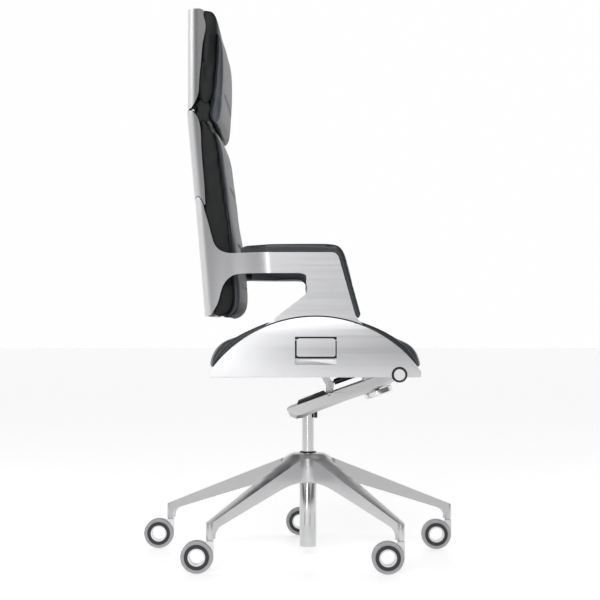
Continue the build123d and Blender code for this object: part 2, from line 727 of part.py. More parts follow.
def low_band(outer, inner, front=132.0):
    """Closed plan band between two insets, running round the rear."""
    def half(inset, sign):
        y_arm, y_back, k, shift = low_contour(inset)
        x0, x1 = FLARE_X0 + shift, FLARE_X1 + shift
        r = max(24.0 - inset, 4.0)
        rear = REAR_LOW + inset
        pts = dict(
            a=(front, sign * -y_arm), b=(x0, sign * -y_arm), c=(x1, sign * -y_back),
            d=(rear + r, sign * -y_back),
            m=(rear + r - r * sin(radians(45)), sign * (-y_back - r + r * cos(radians(45)))),
            e=(rear, sign * (-y_back - r)),
            h0=(x0 - k, sign * -y_arm), h1=(x1 + k, sign * -y_back),
            apex=(rear - 8.0, 0.0),
        )
        return pts
    return half(outer, 1), half(outer, -1), half(inner, 1), half(inner, -1)


def draw_low(outer, inner, front=132.0):
    """Edges of the U-shaped plan band, for use inside BuildLine."""
    ol, orr, il, ir = low_band(outer, inner, front)
    for left, right in ((ol, orr), (il, ir)):
        Line(right["a"], right["b"])
        Bezier(right["b"], right["h0"], right["h1"], right["c"])
        if abs(right["c"][0] - right["d"][0]) > 1e-6:
            Line(right["c"], right["d"])
        ThreePointArc(right["d"], right["m"], right["e"])
        Spline(right["e"], right["apex"], left["e"], tangents=((-0.10, 1), (0.10, 1)))
        ThreePointArc(left["e"], left["m"], left["d"])
        if abs(left["c"][0] - left["d"][0]) > 1e-6:
            Line(left["d"], left["c"])
        Bezier(left["c"], left["h1"], left["h0"], left["b"])
        Line(left["b"], left["a"])
    Line(ol["a"], il["a"])
    Line(orr["a"], ir["a"])


LOW_DIR = (-LEAN_LOW, 0, 1)
FOOT_R = ARC_R + 2.4

# outline of the lower shell and arms seen from the side
with BuildPart() as low_side:
    with BuildSketch(Plane.XZ):
        with BuildLine():
            Line((-300, 833.2), (-255.4, 833.2))
            Spline((-255.4, 833.2), (-249.5, 838.2), (-242.5, 830.5), (-236.6, 818.0), tangents=((1, 0.9), (0.35, -1)))
            Spline(
                (-236.6, 818.0), (-226.2, 781), (-215.0, 739.8), (-206.0, 722.6), (-191.5, 713.2), (-160, 709.0),
                tangents=((0.2, -1), (1, 0)),
            )
            Line((-160, 709.0), (50.5, 709.0))
            Spline((50.5, 709.0), (62.5, 704.0), (68.0, 693.0), tangents=((1, 0), (0.272, -0.962)))
            Line((68.0, 693.0), (101.4, 575.2))
            Spline((101.4, 575.2), (108.5, 561.5), (120.0, ARC_C[1] + sqrt(FOOT_R**2 - 105.0**2)), tangents=((0.272, -0.962), (0.8, -0.55)))
            foot_front = (120.0, ARC_C[1] + sqrt(FOOT_R**2 - 105.0**2))
            foot_rear = (-96.0, ARC_C[1] + sqrt(FOOT_R**2 - 111.0**2))
            ThreePointArc(foot_front, arc_point(FOOT_R, 90), foot_rear)
            Line(foot_rear, (-16.0, 608.5))
            Spline((-16.0, 608.5), (-3.5, 622.5), (-5.5, 645), (-29.0, 663.0), tangents=((0.795, 0.607), (-1, 0)))
            Line((-29.0, 663.0), (-140, 663.0))
            Spline(
                (-140, 663.0), (-173.0, 657.5), (-188.6, 643.0), (-198.7, 616.3), (-206.0, 593.4), (-216.5, 574.5), (-226, 569.5),
                tangents=((-1, 0), (-1, -0.2)),
            )
            Line((-226, 569.5), (-300, 569.5))
            Line((-300, 569.5), (-300, 833.2))
        make_face()
    extrude(amount=330, both=True)

with BuildPart() as lower_shell:
    with BuildSketch(Plane(origin=(60 * LEAN_LOW, 0, Z_LOW - 60))):
        with BuildLine():
            draw_low(0.0, ARM_T)
        make_face()
    extrude(amount=420, dir=LOW_DIR)
    add(low_side.part, mode=Mode.INTERSECT)
lower_shell.part.label = "lower_shell"
export_step(lower_shell.part, "parts/lower_shell.step")


def draw_u(rear, inset, front=-190.0, crown=8.0):
    """Closed outline of the plan band of an upper shell, SHELL_T thick."""
    for d in (inset, inset + SHELL_T):
        r = 24.0 - d
        x, y = rear + d, BACK_HALF - d
        k = r * (1 - cos(radians(45)))
        Line((front, -y), (x + r, -y))
        ThreePointArc((x + r, -y), (x + k, -y + k), (x, -y + r))
        Spline((x, -y + r), (x - crown, 0), (x, y - r), tangents=((-0.10, 1), (0.10, 1)))
        ThreePointArc((x, y - r), (x + k, y - k), (x + r, y))
        Line((x + r, y), (front, y))
    Line((front, -BACK_HALF + inset), (front, -BACK_HALF + inset + SHELL_T))
    Line((front, BACK_HALF - inset), (front, BACK_HALF - inset - SHELL_T))


with BuildPart() as mid_side:
    with BuildSketch(Plane.XZ):
        with BuildLine():
            Line((-310, 834.6), (-256.6, 834.6))
            Spline((-256.6, 834.6), (-249.3, 840.0), (-241.3, 832.0), (-235.6, 820.5), tangents=((1, 0.9), (0.35, -1)))
            ThreePointArc((-235.6, 820.5), (-233.2, 819.3), (-231.8, 822.0))
            Line((-231.8, 822.0), (-233, 841))
            Spline(
                (-233, 841), (-235.2, 874.9), (-239.2, 919.9), (-242.0, 965), (-246.8, 1008), (-253, 1021), (-264.5, 1032.4),
                tangents=((-0.05, 1), (-1, 0.75)),
            )
            Polyline((-264.5, 1032.4), (-310, 1032.4), (-310, 834.6))
        make_face()
    extrude(amount=260, both=True)

with BuildPart() as mid_shell:
    with BuildSketch(Plane(origin=(27 * LEAN_MID, 0, Z_MID - 27))):
        with BuildLine():
            draw_u(REAR_MID, 0.0)
        make_face()
    extrude(amount=240, dir=(-LEAN_MID, 0, 1))
    add(mid_side.part, mode=Mode.INTERSECT)
    # hinge lugs for the head
    for y in (-150, 0, 150):
        with BuildSketch(side_plane(y)):
            with Locations(HEAD_PIVOT):
                Circle(5.5)
            with BuildLine():
                Polyline(
                    (HEAD_PIVOT[0] - 3, HEAD_PIVOT[1] + 3), (HEAD_PIVOT[0] + 5.4, HEAD_PIVOT[1]),
                    (-255, 1010), (-262, 985), (-268.6 if y else -274.6, 975), (-275.6 if y else -280.3, 1030),
                    (HEAD_PIVOT[0] - 5, 1032), close=True,
                )
            make_face()
        extrude(amount=9, both=True)
    with BuildSketch(Plane.XZ):
        with Locations(HEAD_PIVOT):
            Circle(3.0)
    extrude(amount=260, both=True, mode=Mode.SUBTRACT)
mid_shell.part.label = "mid_shell"
export_step(mid_shell.part, "parts/mid_shell.step")

with BuildPart() as head_hinge_pin:
    with BuildSketch(Plane.XZ):
        with Locations(HEAD_PIVOT):
            Circle(3.0)
    extrude(amount=215, both=True)
head_hinge_pin.part.label = "head_hinge_pin"
export_step(head_hinge_pin.part, "parts/head_hinge_pin.step")

LINER_HALF = BACK_HALF - SHELL_T - 0.6
with BuildPart() as back_liner:
    with BuildSketch(Plane.XZ):
        with BuildLine():
            Polyline(
                (-212, 564), (-219.4, 574), (-242.8, 836), (-250, 925), (-251, 975), (-247, 1012),
                (-243, 1020), (-234, 1018), (-226, 1004),
            )
            Spline(
                (-226, 1004), (-214, 985), (-206.6, 965), (-199.2, 919.9), (-192.4, 874.9), (-187.9, 841), (-184.5, 818.6), (-178.9, 784.8),
                (-174.4, 739.8), (-169.5, 660), (-167.7, 604.6), (-174.4, 580), (-190, 566.5),
            )
            Line((-190, 566.5), (-212, 564))
        make_face()
    extrude(amount=LINER_HALF - 6.0, both=True)
back_liner.part.label = "back_liner"
export_step(back_liner.part, "parts/back_liner.step")

with BuildPart() as back_pad:
    with BuildSketch(Plane.XZ):
        with BuildLine():
            Spline(
                (-213.0, 988), (-206.0, 986), (-200.5, 975), (-196.3, 965), (-187.2, 919.9), (-181.2, 874.9), (-176.7, 841.1), (-174.4, 818.6),
                (-169.9, 784.8), (-161.6, 739.8), (-155.0, 683), (-150.3, 627), (-150.3, 604.6), (-155.3, 582.1), (-167.7, 568.6), (-184, 563.5),
            )
            Line((-184, 563.5), (-189.6, 566.2))
            Spline(
                (-189.6, 566.2), (-174.0, 579.8), (-167.3, 604.6), (-169.1, 660), (-174.0, 739.8), (-178.5, 784.8), (-184.1, 818.6), (-187.5, 841),
                (-192.0, 874.9), (-198.8, 919.9), (-206.2, 965), (-213.0, 984.4),
            )
            Line((-213.0, 984.4), (-213.0, 988))
        make_face()
    extrude(amount=LINER_HALF - 6.0, both=True)
back_pad.part.label = "back_pad"
export_step(back_pad.part, "parts/back_pad.step")

# arm pads: lining inside each arm plate with a bead over its top and front edge
with BuildPart() as bead_side:
    with BuildSketch(Plane.XZ):
        with BuildLine():
            Line((-150, 709.5), (50.6, 709.5))
            Spline((50.6, 709.5), (63.0, 704.3), (68.6, 693.1), tangents=((1, 0), (0.272, -0.962)))
            Line((68.6, 693.1), (102.0, 575.4))
            Spline((102.0, 575.4), (106.5, 565.5), (112.3, 563.4), (115.8, 569), (115.2, 580), tangents=((0.272, -0.962), (-0.25, 0.96)))
            Line((115.2, 580), (82.5, 697.5))
            Spline((82.5, 697.5), (73.5, 717.0), (52.0, 727.6), tangents=((-0.272, 0.962), (-1, 0.04)))
            Spline((52.0, 727.6), (-40, 728.6), (-130, 727.2), (-150, 722.0), (-154, 714), (-150, 709.5), tangents=((-1, 0.04), (1, -0.1)))
        make_face()
    extrude(amount=330, both=True)

with BuildPart() as lining_side:
    with BuildSketch(Plane.XZ):
        with BuildLine():
            Line((-145, 664.2), (-28.9, 664.2))
            Spline((-28.9, 664.2), (-4.2, 645.5), (-2.3, 622.5), (-15.2, 607.4), tangents=((1, 0), (-0.795, -0.607)))
            Line((-15.2, 607.4), arc_point(300, 100))
            ThreePointArc(arc_point(300, 100), arc_point(300, 88), arc_point(300, 73))
            Line(arc_point(300, 73), (103, 580))
            Line((103, 580), (70, 695))
            Spline((70, 695), (63, 706), (50.5, 712), tangents=((-0.272, 0.962), (-1, 0)))
            Line((50.5, 712), (-145, 712))
            Line((-145, 712), (-145, 664.2))
        make_face()
    extrude(amount=330, both=True)


def make_arm_pad(side):
    """Arm pad on one side: -1 right, +1 left."""
    with BuildPart() as bead:
        with BuildSketch(Plane(origin=(60 * LEAN_LOW, 0, Z_LOW - 60))):
            with BuildLine():
                draw_low(1.0, 31.0)
            make_face()
        extrude(amount=420, dir=LOW_DIR)
        add(bead_side.part, mode=Mode.INTERSECT)
    with BuildPart() as pad:
        with BuildSketch(Plane(origin=(60 * LEAN_LOW, 0, Z_LOW - 60))):
            with BuildLine():
                draw_low(ARM_T + 0.3, 31.0)
            make_face()
        extrude(amount=420, dir=LOW_DIR)
        add(lining_side.part, mode=Mode.INTERSECT)
        add(bead.part)
        with BuildSketch(Plane.XY.offset(500)):
            with Locations((-60, side * 200)):
                Rectangle(500, 400)
        extrude(amount=300, mode=Mode.INTERSECT)
    return pad


arm_pad_right = make_arm_pad(-1)
arm_pad_right.part.label = "arm_pad_right"
export_step(arm_pad_right.part, "parts/arm_pad_right.step")
arm_pad_left = make_arm_pad(1)
arm_pad_left.part.label = "arm_pad_left"
export_step(arm_pad_left.part, "parts/arm_pad_left.step")

# tongues: hang from the arm feet in the curved slots of the side panels
with BuildPart() as arm_tongues:
    for side in (-1, 1):
        with BuildSketch(side_plane(side * 300.6)):
            with BuildLine():
                CenterArc(ARC_C, 270.0, 84, 22)
                Line(arc_point(270.0, 106), arc_point(FOOT_R, 106))
                CenterArc(ARC_C, FOOT_R, 84, 22)
                Line(arc_point(270.0, 84), arc_point(FOOT_R, 84))
            make_face()
        extrude(amount=-side * 4.8)
        with BuildSketch(side_plane(side * 304.2)):
            with BuildLine():
                CenterArc(ARC_C, ARC_R + 0.7, 84, 22)
                Line(arc_point(ARC_R + 0.7, 106), arc_point(FOOT_R, 106))
                CenterArc(ARC_C, FOOT_R, 84, 22)
                Line(arc_point(ARC_R + 0.7, 84), arc_point(FOOT_R, 84))
            make_face()
        extrude(amount=-side * 5.6)
arm_tongues.part.label = "arm_tongues"
export_step(arm_tongues.part, "parts/arm_tongues.step")

# ===========================================================================
# Head: shell and upholstery on a hinge at the top of the middle shell
# ===========================================================================
with BuildPart() as head_side:
    with BuildSketch(Plane.XZ):
        with BuildLine():
            Polyline((-310, 1034.6), (-273.5, 1034.6), (-265.0, 1038.2))
            Spline(
                (-265.0, 1038.2), (-258.5, 1047), (-249.5, 1066.3), (-246.3, 1100), (-242.0, 1145), (-237.5, 1190), (-233.2, 1233), (-236.5, 1253), (-245, 1262.3),
                tangents=((0.6, 0.8), (-1, 0.35)),
            )
            Polyline((-245, 1262.3), (-310, 1262.3), (-310, 1034.6))
        make_face()
    extrude(amount=260, both=True)

with BuildPart() as head_shell:
    with BuildSketch(Plane.XY.offset(1020)):
        with BuildLine():
            draw_u(REAR_HEAD, 0.0)
        make_face()
    extrude(amount=260)
    add(head_side.part, mode=Mode.INTERSECT)
    for y in (-172, -22, 22, 172):
        with BuildSketch(side_plane(y)):
            with Locations(HEAD_PIVOT):
                Circle(5.5)
            with BuildLine():
                Polyline(
                    (HEAD_PIVOT[0] - 3.5, HEAD_PIVOT[1] - 2.0), (HEAD_PIVOT[0] + 5.4, HEAD_PIVOT[1]),
                    (-256, 1058), (-264, 1075), (-273.6 if abs(y) > 100 else -278.7, 1075),
                    (-273.6 if abs(y) > 100 else -278.7, 1040), close=True,
                )
            make_face()
        extrude(amount=9, both=True)
    with BuildSketch(Plane.XZ):
        with Locations(HEAD_PIVOT):
            Circle(3.0 + RUN)
    extrude(amount=260, both=True, mode=Mode.SUBTRACT)
head_shell.part.label = "head_shell"
export_step(head_shell.part, "parts/head_shell.step")

with BuildPart() as head_pad:
    with BuildSketch(Plane.XZ):
        with BuildLine():
            Spline(
                (-204.0, 1216), (-197.5, 1204), (-193.6, 1190), (-190.2, 1145), (-190.9, 1100), (-193.1, 1066), (-194.7, 1037), (-196.4, 1024),
                (-202.0, 1008), (-209, 1003), (-215.5, 1009), (-217.5, 1030),
            )
            Spline((-217.5, 1030), (-214.5, 1065.7), (-210.1, 1100), (-206.6, 1145), (-204.4, 1190), (-204.0, 1216))
        make_face()
    extrude(amount=LINER_HALF - 6.0, both=True)
head_pad.part.label = "head_pad"
export_step(head_pad.part, "parts/head_pad.step")

with BuildPart() as head_liner:
    with BuildSketch(Plane.XZ):
        with BuildLine():
            Polyline((-228.5, 1047), (-238, 1044), (-249, 1060), (-254, 1080), (-262, 1090), (-262, 1258))
            Spline((-262, 1258), (-258, 1263.2), (-240, 1264.6), (-224, 1264.0), (-212.5, 1256), (-206.4, 1235.3), (-204.8, 1190), (-207, 1145), (-210.5, 1100), (-215, 1066), (-228.5, 1047))
        make_face()
    extrude(amount=LINER_HALF - 6.0, both=True)
    add(head_pad.part.moved(Location((-0.5, 0, 0))), mode=Mode.SUBTRACT)
head_liner.part.label = "head_liner"
export_step(head_liner.part, "parts/head_liner.step")
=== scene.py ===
import json
import math

import bmesh
import bpy
import numpy as np
from mathutils import Matrix, Vector, kdtree
from mathutils.bvhtree import BVHTree


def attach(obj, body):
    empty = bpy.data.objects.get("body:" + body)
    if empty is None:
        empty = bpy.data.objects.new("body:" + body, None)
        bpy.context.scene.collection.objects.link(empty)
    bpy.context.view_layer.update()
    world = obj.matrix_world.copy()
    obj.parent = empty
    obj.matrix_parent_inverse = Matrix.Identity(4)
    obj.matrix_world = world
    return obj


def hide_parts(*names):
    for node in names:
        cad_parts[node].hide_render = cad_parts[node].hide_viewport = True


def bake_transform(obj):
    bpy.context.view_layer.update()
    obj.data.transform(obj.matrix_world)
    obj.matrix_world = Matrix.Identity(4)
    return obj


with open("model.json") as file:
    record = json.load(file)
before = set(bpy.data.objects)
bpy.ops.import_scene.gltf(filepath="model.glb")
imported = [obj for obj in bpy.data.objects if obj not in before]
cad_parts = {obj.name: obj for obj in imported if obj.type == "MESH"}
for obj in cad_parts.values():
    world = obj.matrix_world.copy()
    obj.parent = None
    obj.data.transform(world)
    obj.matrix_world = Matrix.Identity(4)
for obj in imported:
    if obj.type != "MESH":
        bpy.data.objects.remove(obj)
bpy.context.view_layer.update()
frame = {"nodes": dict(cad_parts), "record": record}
nodes = frame["nodes"]
scene = bpy.context.scene
MM = 0.001


# ---------------------------------------------------------------- materials
def new_material(name):
    m = bpy.data.materials.new(name)
    m.use_nodes = True
    nt = m.node_tree
    nt.nodes.clear()
    out = nt.nodes.new("ShaderNodeOutputMaterial")
    bsdf = nt.nodes.new("ShaderNodeBsdfPrincipled")
    nt.links.new(bsdf.outputs["BSDF"], out.inputs["Surface"])
    coord = nt.nodes.new("ShaderNodeTexCoord")
    return m, nt, bsdf, coord.outputs["Object"]


def stretched(nt, vector, scale):
    """The object's own coordinates, stretched by scale along each axis."""
    mapping = nt.nodes.new("ShaderNodeMapping")
    mapping.inputs["Scale"].default_value = scale
    nt.links.new(vector, mapping.inputs["Vector"])
    return mapping.outputs["Vector"]


def noise(nt, vector, scale, detail=2.0, rough=0.5, distortion=0.0):
    n = nt.nodes.new("ShaderNodeTexNoise")
    n.inputs["Scale"].default_value = scale
    n.inputs["Detail"].default_value = detail
    n.inputs["Roughness"].default_value = rough
    n.inputs["Distortion"].default_value = distortion
    nt.links.new(vector, n.inputs["Vector"])
    return n.outputs["Fac"]


def voronoi(nt, vector, scale, feature="F1", smooth=0.0):
    n = nt.nodes.new("ShaderNodeTexVoronoi")
    n.feature = feature
    n.inputs["Scale"].default_value = scale
    if "Smoothness" in n.inputs and feature == "SMOOTH_F1":
        n.inputs["Smoothness"].default_value = smooth
    nt.links.new(vector, n.inputs["Vector"])
    return n.outputs["Distance"]


def ramp(nt, fac, stops):
    r = nt.nodes.new("ShaderNodeValToRGB")
    while len(r.color_ramp.elements) < len(stops):
        r.color_ramp.elements.new(0.5)
    for e, (pos, col) in zip(r.color_ramp.elements, stops):
        e.position = pos
        e.color = (*col, 1.0) if len(col) == 3 else col
    nt.links.new(fac, r.inputs["Fac"])
    return r.outputs["Color"]


def span(nt, fac, low, high, from_low=0.0, from_high=1.0):
    n = nt.nodes.new("ShaderNodeMapRange")
    n.inputs["From Min"].default_value = from_low
    n.inputs["From Max"].default_value = from_high
    n.inputs["To Min"].default_value = low
    n.inputs["To Max"].default_value = high
    nt.links.new(fac, n.inputs["Value"])
    return n.outputs["Result"]


def maths(nt, operation, a, b):
    n = nt.nodes.new("ShaderNodeMath")
    n.operation = operation
    for k, v in enumerate((a, b)):
        if isinstance(v, (int, float)):
            n.inputs[k].default_value = v
        else:
            nt.links.new(v, n.inputs[k])
    return n.outputs["Value"]


def bump(nt, bsdf, height, strength, distance, chain=None):
    n = nt.nodes.new("ShaderNodeBump")
    n.inputs["Strength"].default_value = strength
    n.inputs["Distance"].default_value = distance
    nt.links.new(height, n.inputs["Height"])
    if chain is not None:
        nt.links.new(chain, n.inputs["Normal"])
    nt.links.new(n.outputs["Normal"], bsdf.inputs["Normal"])
    return n.outputs["Normal"]


def vmath(nt, operation, a, b=None):
    n = nt.nodes.new("ShaderNodeVectorMath")
    n.operation = operation
    for k, v in enumerate((a, b)):
        if v is None:
            continue
        if isinstance(v, (tuple, list)):
            n.inputs[k].default_value = v
        else:
            nt.links.new(v, n.inputs[k])
    return n.outputs["Vector"]


def brushed(name, tone=0.74, rough=(0.30, 0.42), upright=False, aniso=0.6, swell=0.0, swell_from=None, swell_to=None, crown=None):
    """Fine brushed, clear anodised aluminium: long lines, slight cloudiness and a soft rolled form towards the rear."""
    m, nt, b, obj = new_material(name)
    lines = (700.0, 700.0, 2.5) if upright else (2.5, 2.5, 800.0)
    fine = noise(nt, stretched(nt, obj, lines), 1.0, 3.0, 0.62)
    broad = noise(nt, stretched(nt, obj, tuple(v * (0.2 if v > 100 else 0.7) for v in lines)), 1.0, 2.0, 0.5)
    cloud = noise(nt, obj, 4.0, 3.0, 0.5)
    mixed = maths(nt, "ADD", maths(nt, "MULTIPLY", fine, 0.6), maths(nt, "MULTIPLY", broad, 0.4))
    tint = maths(nt, "ADD", maths(nt, "MULTIPLY", mixed, 0.45), maths(nt, "MULTIPLY", cloud, 0.55))
    lo, hi = tone * 0.955, tone * 1.035
    nt.links.new(ramp(nt, tint, [(0.32, (lo, lo * 1.003, lo * 1.022)), (0.68, (hi, hi * 1.003, hi * 1.022))]), b.inputs["Base Color"])
    b.inputs["Metallic"].default_value = 1.0
    nt.links.new(span(nt, mixed, rough[0], rough[1], 0.3, 0.7), b.inputs["Roughness"])
    b.inputs["Anisotropic"].default_value = aniso
    geo = nt.nodes.new("ShaderNodeNewGeometry")
    level = vmath(nt, "CROSS_PRODUCT", (0.0, 0.0, 1.0), geo.outputs["Normal"])
    if upright:
        tangent = level
    else:
        tangent = vmath(nt, "CROSS_PRODUCT", geo.outputs["Normal"], level)
    nt.links.new(vmath(nt, "NORMALIZE", vmath(nt, "ADD", tangent, (0.0001, 0.0, 0.0002))), b.inputs["Tangent"])
    chain = None
    if swell:
        normal = geo.outputs["Normal"]
        push = (-swell, 0.0, 0.0)
        if swell_from is not None:
            part = nt.nodes.new("ShaderNodeSeparateXYZ")
            nt.links.new(obj, part.inputs[0])
            f = nt.nodes.new("ShaderNodeMapRange")
            f.interpolation_type = "SMOOTHSTEP"
            f.inputs["From Min"].default_value = swell_from
            f.inputs["From Max"].default_value = swell_to
            f.inputs["To Min"].default_value = swell
            f.inputs["To Max"].default_value = 0.0
            nt.links.new(part.outputs["X"], f.inputs["Value"])
            c = nt.nodes.new("ShaderNodeCombineXYZ")
            nt.links.new(maths(nt, "MULTIPLY", f.outputs["Result"], -1.0), c.inputs["X"])
            push = c.outputs["Vector"]
        chain = vmath(nt, "NORMALIZE", vmath(nt, "ADD", normal, push))
    if crown is not None:
        kx, x0, kz, z0 = crown
        part = nt.nodes.new("ShaderNodeSeparateXYZ")
        nt.links.new(obj, part.inputs[0])
        c = nt.nodes.new("ShaderNodeCombineXYZ")
        nt.links.new(maths(nt, "MULTIPLY", maths(nt, "SUBTRACT", part.outputs["X"], x0), kx), c.inputs["X"])
        nt.links.new(maths(nt, "MULTIPLY", maths(nt, "SUBTRACT", part.outputs["Z"], z0), kz), c.inputs["Z"])
        chain = vmath(nt, "NORMALIZE", vmath(nt, "ADD", geo.outputs["Normal"], c.outputs["Vector"]))
    bump(nt, b, fine, 0.03 if upright else 0.06, 0.0003, chain)
    return m


def satin(name, tone, rough=(0.33, 0.45), grain=1400.0, depth=0.00012, warm=1.012, metallic=1.0):
    """Satin cast metal with a fine blasted grain and gentle cloudiness."""
    m, nt, b, obj = new_material(name)
    fine = noise(nt, obj, grain, 2.0, 0.6)
    cloud = noise(nt, obj, 16.0, 4.0, 0.55)
    mixed = maths(nt, "ADD", maths(nt, "MULTIPLY", fine, 0.5), maths(nt, "MULTIPLY", cloud, 0.5))
    lo, hi = tone * 0.93, tone * 1.05
    nt.links.new(ramp(nt, mixed, [(0.32, (lo, lo, lo * warm)), (0.68, (hi, hi, hi * warm))]), b.inputs["Base Color"])
    b.inputs["Metallic"].default_value = metallic
    nt.links.new(span(nt, mixed, rough[0], rough[1], 0.3, 0.7), b.inputs["Roughness"])
    bump(nt, b, fine, 0.35, depth)
    return m


def polished(name, tone, rough=(0.07, 0.14), axis_lines=(2.0, 2.0, 240.0)):
    """Polished plated metal: faint lapping lines and a few softer patches."""
    m, nt, b, obj = new_material(name)
    lines = noise(nt, stretched(nt, obj, axis_lines), 1.0, 2.0, 0.5)
    patch = noise(nt, obj, 22.0, 3.0, 0.5)
    mixed = maths(nt, "ADD", maths(nt, "MULTIPLY", lines, 0.5), maths(nt, "MULTIPLY", patch, 0.5))
    lo, hi = tone * 0.96, tone * 1.03
    nt.links.new(ramp(nt, mixed, [(0.3, (lo, lo * 1.005, lo * 1.01)), (0.7, (hi, hi * 1.005, hi * 1.01))]), b.inputs["Base Color"])
    b.inputs["Metallic"].default_value = 1.0
    nt.links.new(span(nt, mixed, rough[0], rough[1], 0.3, 0.7), b.inputs["Roughness"])
    bump(nt, b, lines, 0.05, 0.0001)
    return m


def plastic(name, colour, rough=(0.42, 0.55), grain=1100.0, depth=0.00010, coat=0.0):
    """Moulded plastic or paint with a fine spark-eroded texture."""
    m, nt, b, obj = new_material(name)
    cells = voronoi(nt, obj, grain)
    cloud = noise(nt, obj, 30.0, 3.0, 0.5)
    lo = tuple(c * 0.82 for c in colour)
    hi = tuple(min(1.0, c * 1.18) for c in colour)
    mixed = maths(nt, "ADD", maths(nt, "MULTIPLY", cells, 0.35), maths(nt, "MULTIPLY", cloud, 0.65))
    nt.links.new(ramp(nt, mixed, [(0.25, lo), (0.75, hi)]), b.inputs["Base Color"])
    nt.links.new(span(nt, cloud, rough[0], rough[1], 0.3, 0.7), b.inputs["Roughness"])
    b.inputs["Coat Weight"].default_value = coat
    bump(nt, b, cells, 0.25, depth)
    return m


def leather(name, dark, light, rough=(0.36, 0.50), sheen=0.12, coat=0.10, grain=620.0, specular=0.5):
    """Smooth aniline leather: pebbled grain of about 1.5 mm, fine pores, soft creases and slightly polished high spots."""
    m, nt, b, obj = new_material(name)
    warp = noise(nt, obj, 60.0, 2.0, 0.5)
    bend = nt.nodes.new("ShaderNodeVectorMath")
    bend.operation = "MULTIPLY_ADD"
    bend.inputs[1].default_value = (1.0, 1.0, 1.0)
    nt.links.new(obj, bend.inputs[0])
    scaled = nt.nodes.new("ShaderNodeVectorMath")
    scaled.operation = "SCALE"
    scaled.inputs["Scale"].default_value = 0.0016
    wide = nt.nodes.new("ShaderNodeTexNoise")
    wide.inputs["Scale"].default_value = 90.0
    nt.links.new(obj, wide.inputs["Vector"])
    nt.links.new(wide.outputs["Color"], scaled.inputs[0])
    nt.links.new(scaled.outputs["Vector"], bend.inputs[2])
    warped = bend.outputs["Vector"]
    cells = voronoi(nt, warped, grain, "SMOOTH_F1", 0.35)
    small = voronoi(nt, warped, grain * 2.3, "F1")
    pores = noise(nt, obj, grain * 4.0, 2.0, 0.6)
    crease = noise(nt, stretched(nt, obj, (14.0, 9.0, 22.0)), 1.0, 5.0, 0.62, 1.2)
    cloud = noise(nt, obj, 7.0, 4.0, 0.55)
    height = maths(nt, "ADD", maths(nt, "MULTIPLY", cells, -0.75), maths(nt, "MULTIPLY", small, -0.25))
    height = maths(nt, "ADD", height, maths(nt, "MULTIPLY", pores, 0.10))
    tone = maths(nt, "ADD", maths(nt, "MULTIPLY", cloud, 0.55), maths(nt, "MULTIPLY", maths(nt, "SUBTRACT", 1.0, cells), 0.25))
    tone = maths(nt, "ADD", tone, maths(nt, "MULTIPLY", crease, 0.20))
    nt.links.new(ramp(nt, tone, [(0.38, dark), (0.62, light)]), b.inputs["Base Color"])
    nt.links.new(span(nt, maths(nt, "ADD", maths(nt, "MULTIPLY", cells, 0.5), maths(nt, "MULTIPLY", cloud, 0.5)), rough[0], rough[1], 0.2, 0.7), b.inputs["Roughness"])
    b.inputs["Sheen Weight"].default_value = sheen
    b.inputs["Sheen Roughness"].default_value = 0.4
    b.inputs["Coat Weight"].default_value = coat
    b.inputs["Coat Roughness"].default_value = 0.32
    b.inputs["IOR"].default_value = 1.5
    b.inputs["Specular IOR Level"].default_value = specular
    n1 = bump(nt, b, height, 0.30, 0.00045)
    bump(nt, b, crease, 0.16, 0.0022, n1)
    return m


def thread(name, colour):
    m, nt, b, obj = new_material(name)
    twist = noise(nt, obj, 2600.0, 2.0, 0.6)
    lo = tuple(c * 0.75 for c in colour)
    nt.links.new(ramp(nt, twist, [(0.3, lo), (0.7, colour)]), b.inputs["Base Color"])
    nt.links.new(span(nt, twist, 0.5, 0.7), b.inputs["Roughness"])
    b.inputs["Sheen Weight"].default_value = 0.2
    bump(nt, b, twist, 0.4, 0.0002)
    return m


mats = {
    "brushed_shell": brushed("brushed_shell_finish", 0.68, (0.27, 0.37), False, 0.45, crown=(0.20, -0.02, 2.2, 0.470)),
    "cap_satin": satin("pivot_cap_finish", 0.80, (0.42, 0.52)),
    # painted highlight: a brighter satin copy of the panel metal, set on the scoop floor to stand in for the light it
    # catches
    "scoop": satin("finger_scoop_painted_highlight", 0.86, (0.42, 0.50)),
    "shell_upper": brushed("upper_shell_finish", 0.64, (0.32, 0.36), True, 0.40, 0.42),
    "shell_lower": brushed("lower_shell_finish", 0.67, (0.28, 0.37), False, 0.50, 0.42, -0.222, -0.190),
    "cast_alloy": satin("cast_alloy_finish", 0.66, (0.30, 0.42)),
    "caster_alloy": satin("caster_alloy_finish", 0.74, (0.28, 0.38), 1500.0),
    "ring_plastic": plastic("ring_plastic_finish", (0.030, 0.031, 0.033), (0.40, 0.52)),
    "wheel_rim": plastic("wheel_rim_finish", (0.42, 0.42, 0.44), (0.34, 0.46), 900.0, 0.00008, 0.15),
    "chromed_tube": polished("chromed_tube_finish", 0.62, (0.10, 0.17)),
    "polished_metal": polished("polished_metal_finish", 0.70, (0.10, 0.18), (300.0, 300.0, 300.0)),
    "black_plastic": plastic("black_plastic_finish", (0.014, 0.014, 0.015), (0.42, 0.55)),
    "steel_pin": polished("steel_pin_finish", 0.55, (0.22, 0.32)),
    "black_enamel": plastic("black_enamel_finish", (0.020, 0.020, 0.022), (0.28, 0.40), 500.0, 0.00005, 0.25),
    # partly real and partly painted reflection: the pads are black leather like the liner, and the lifted blue-grey
    # tone stands in for the bright room that their front faces reflect
    "pad_leather": leather("pad_leather_with_painted_reflection", (0.030, 0.036, 0.046), (0.048, 0.056, 0.070), (0.40, 0.54), 0.10, 0.10),
    "liner_leather": leather("liner_leather_finish", (0.0040, 0.0048, 0.0050), (0.0080, 0.0092, 0.0098), (0.44, 0.58), 0.0, 0.0, specular=0.32),
    "arm_leather": leather("arm_leather_finish", (0.014, 0.018, 0.022), (0.026, 0.031, 0.037), (0.34, 0.46), 0.05, 0.18),
}
THREAD_DARK = thread("thread_black", (0.020, 0.021, 0.023))
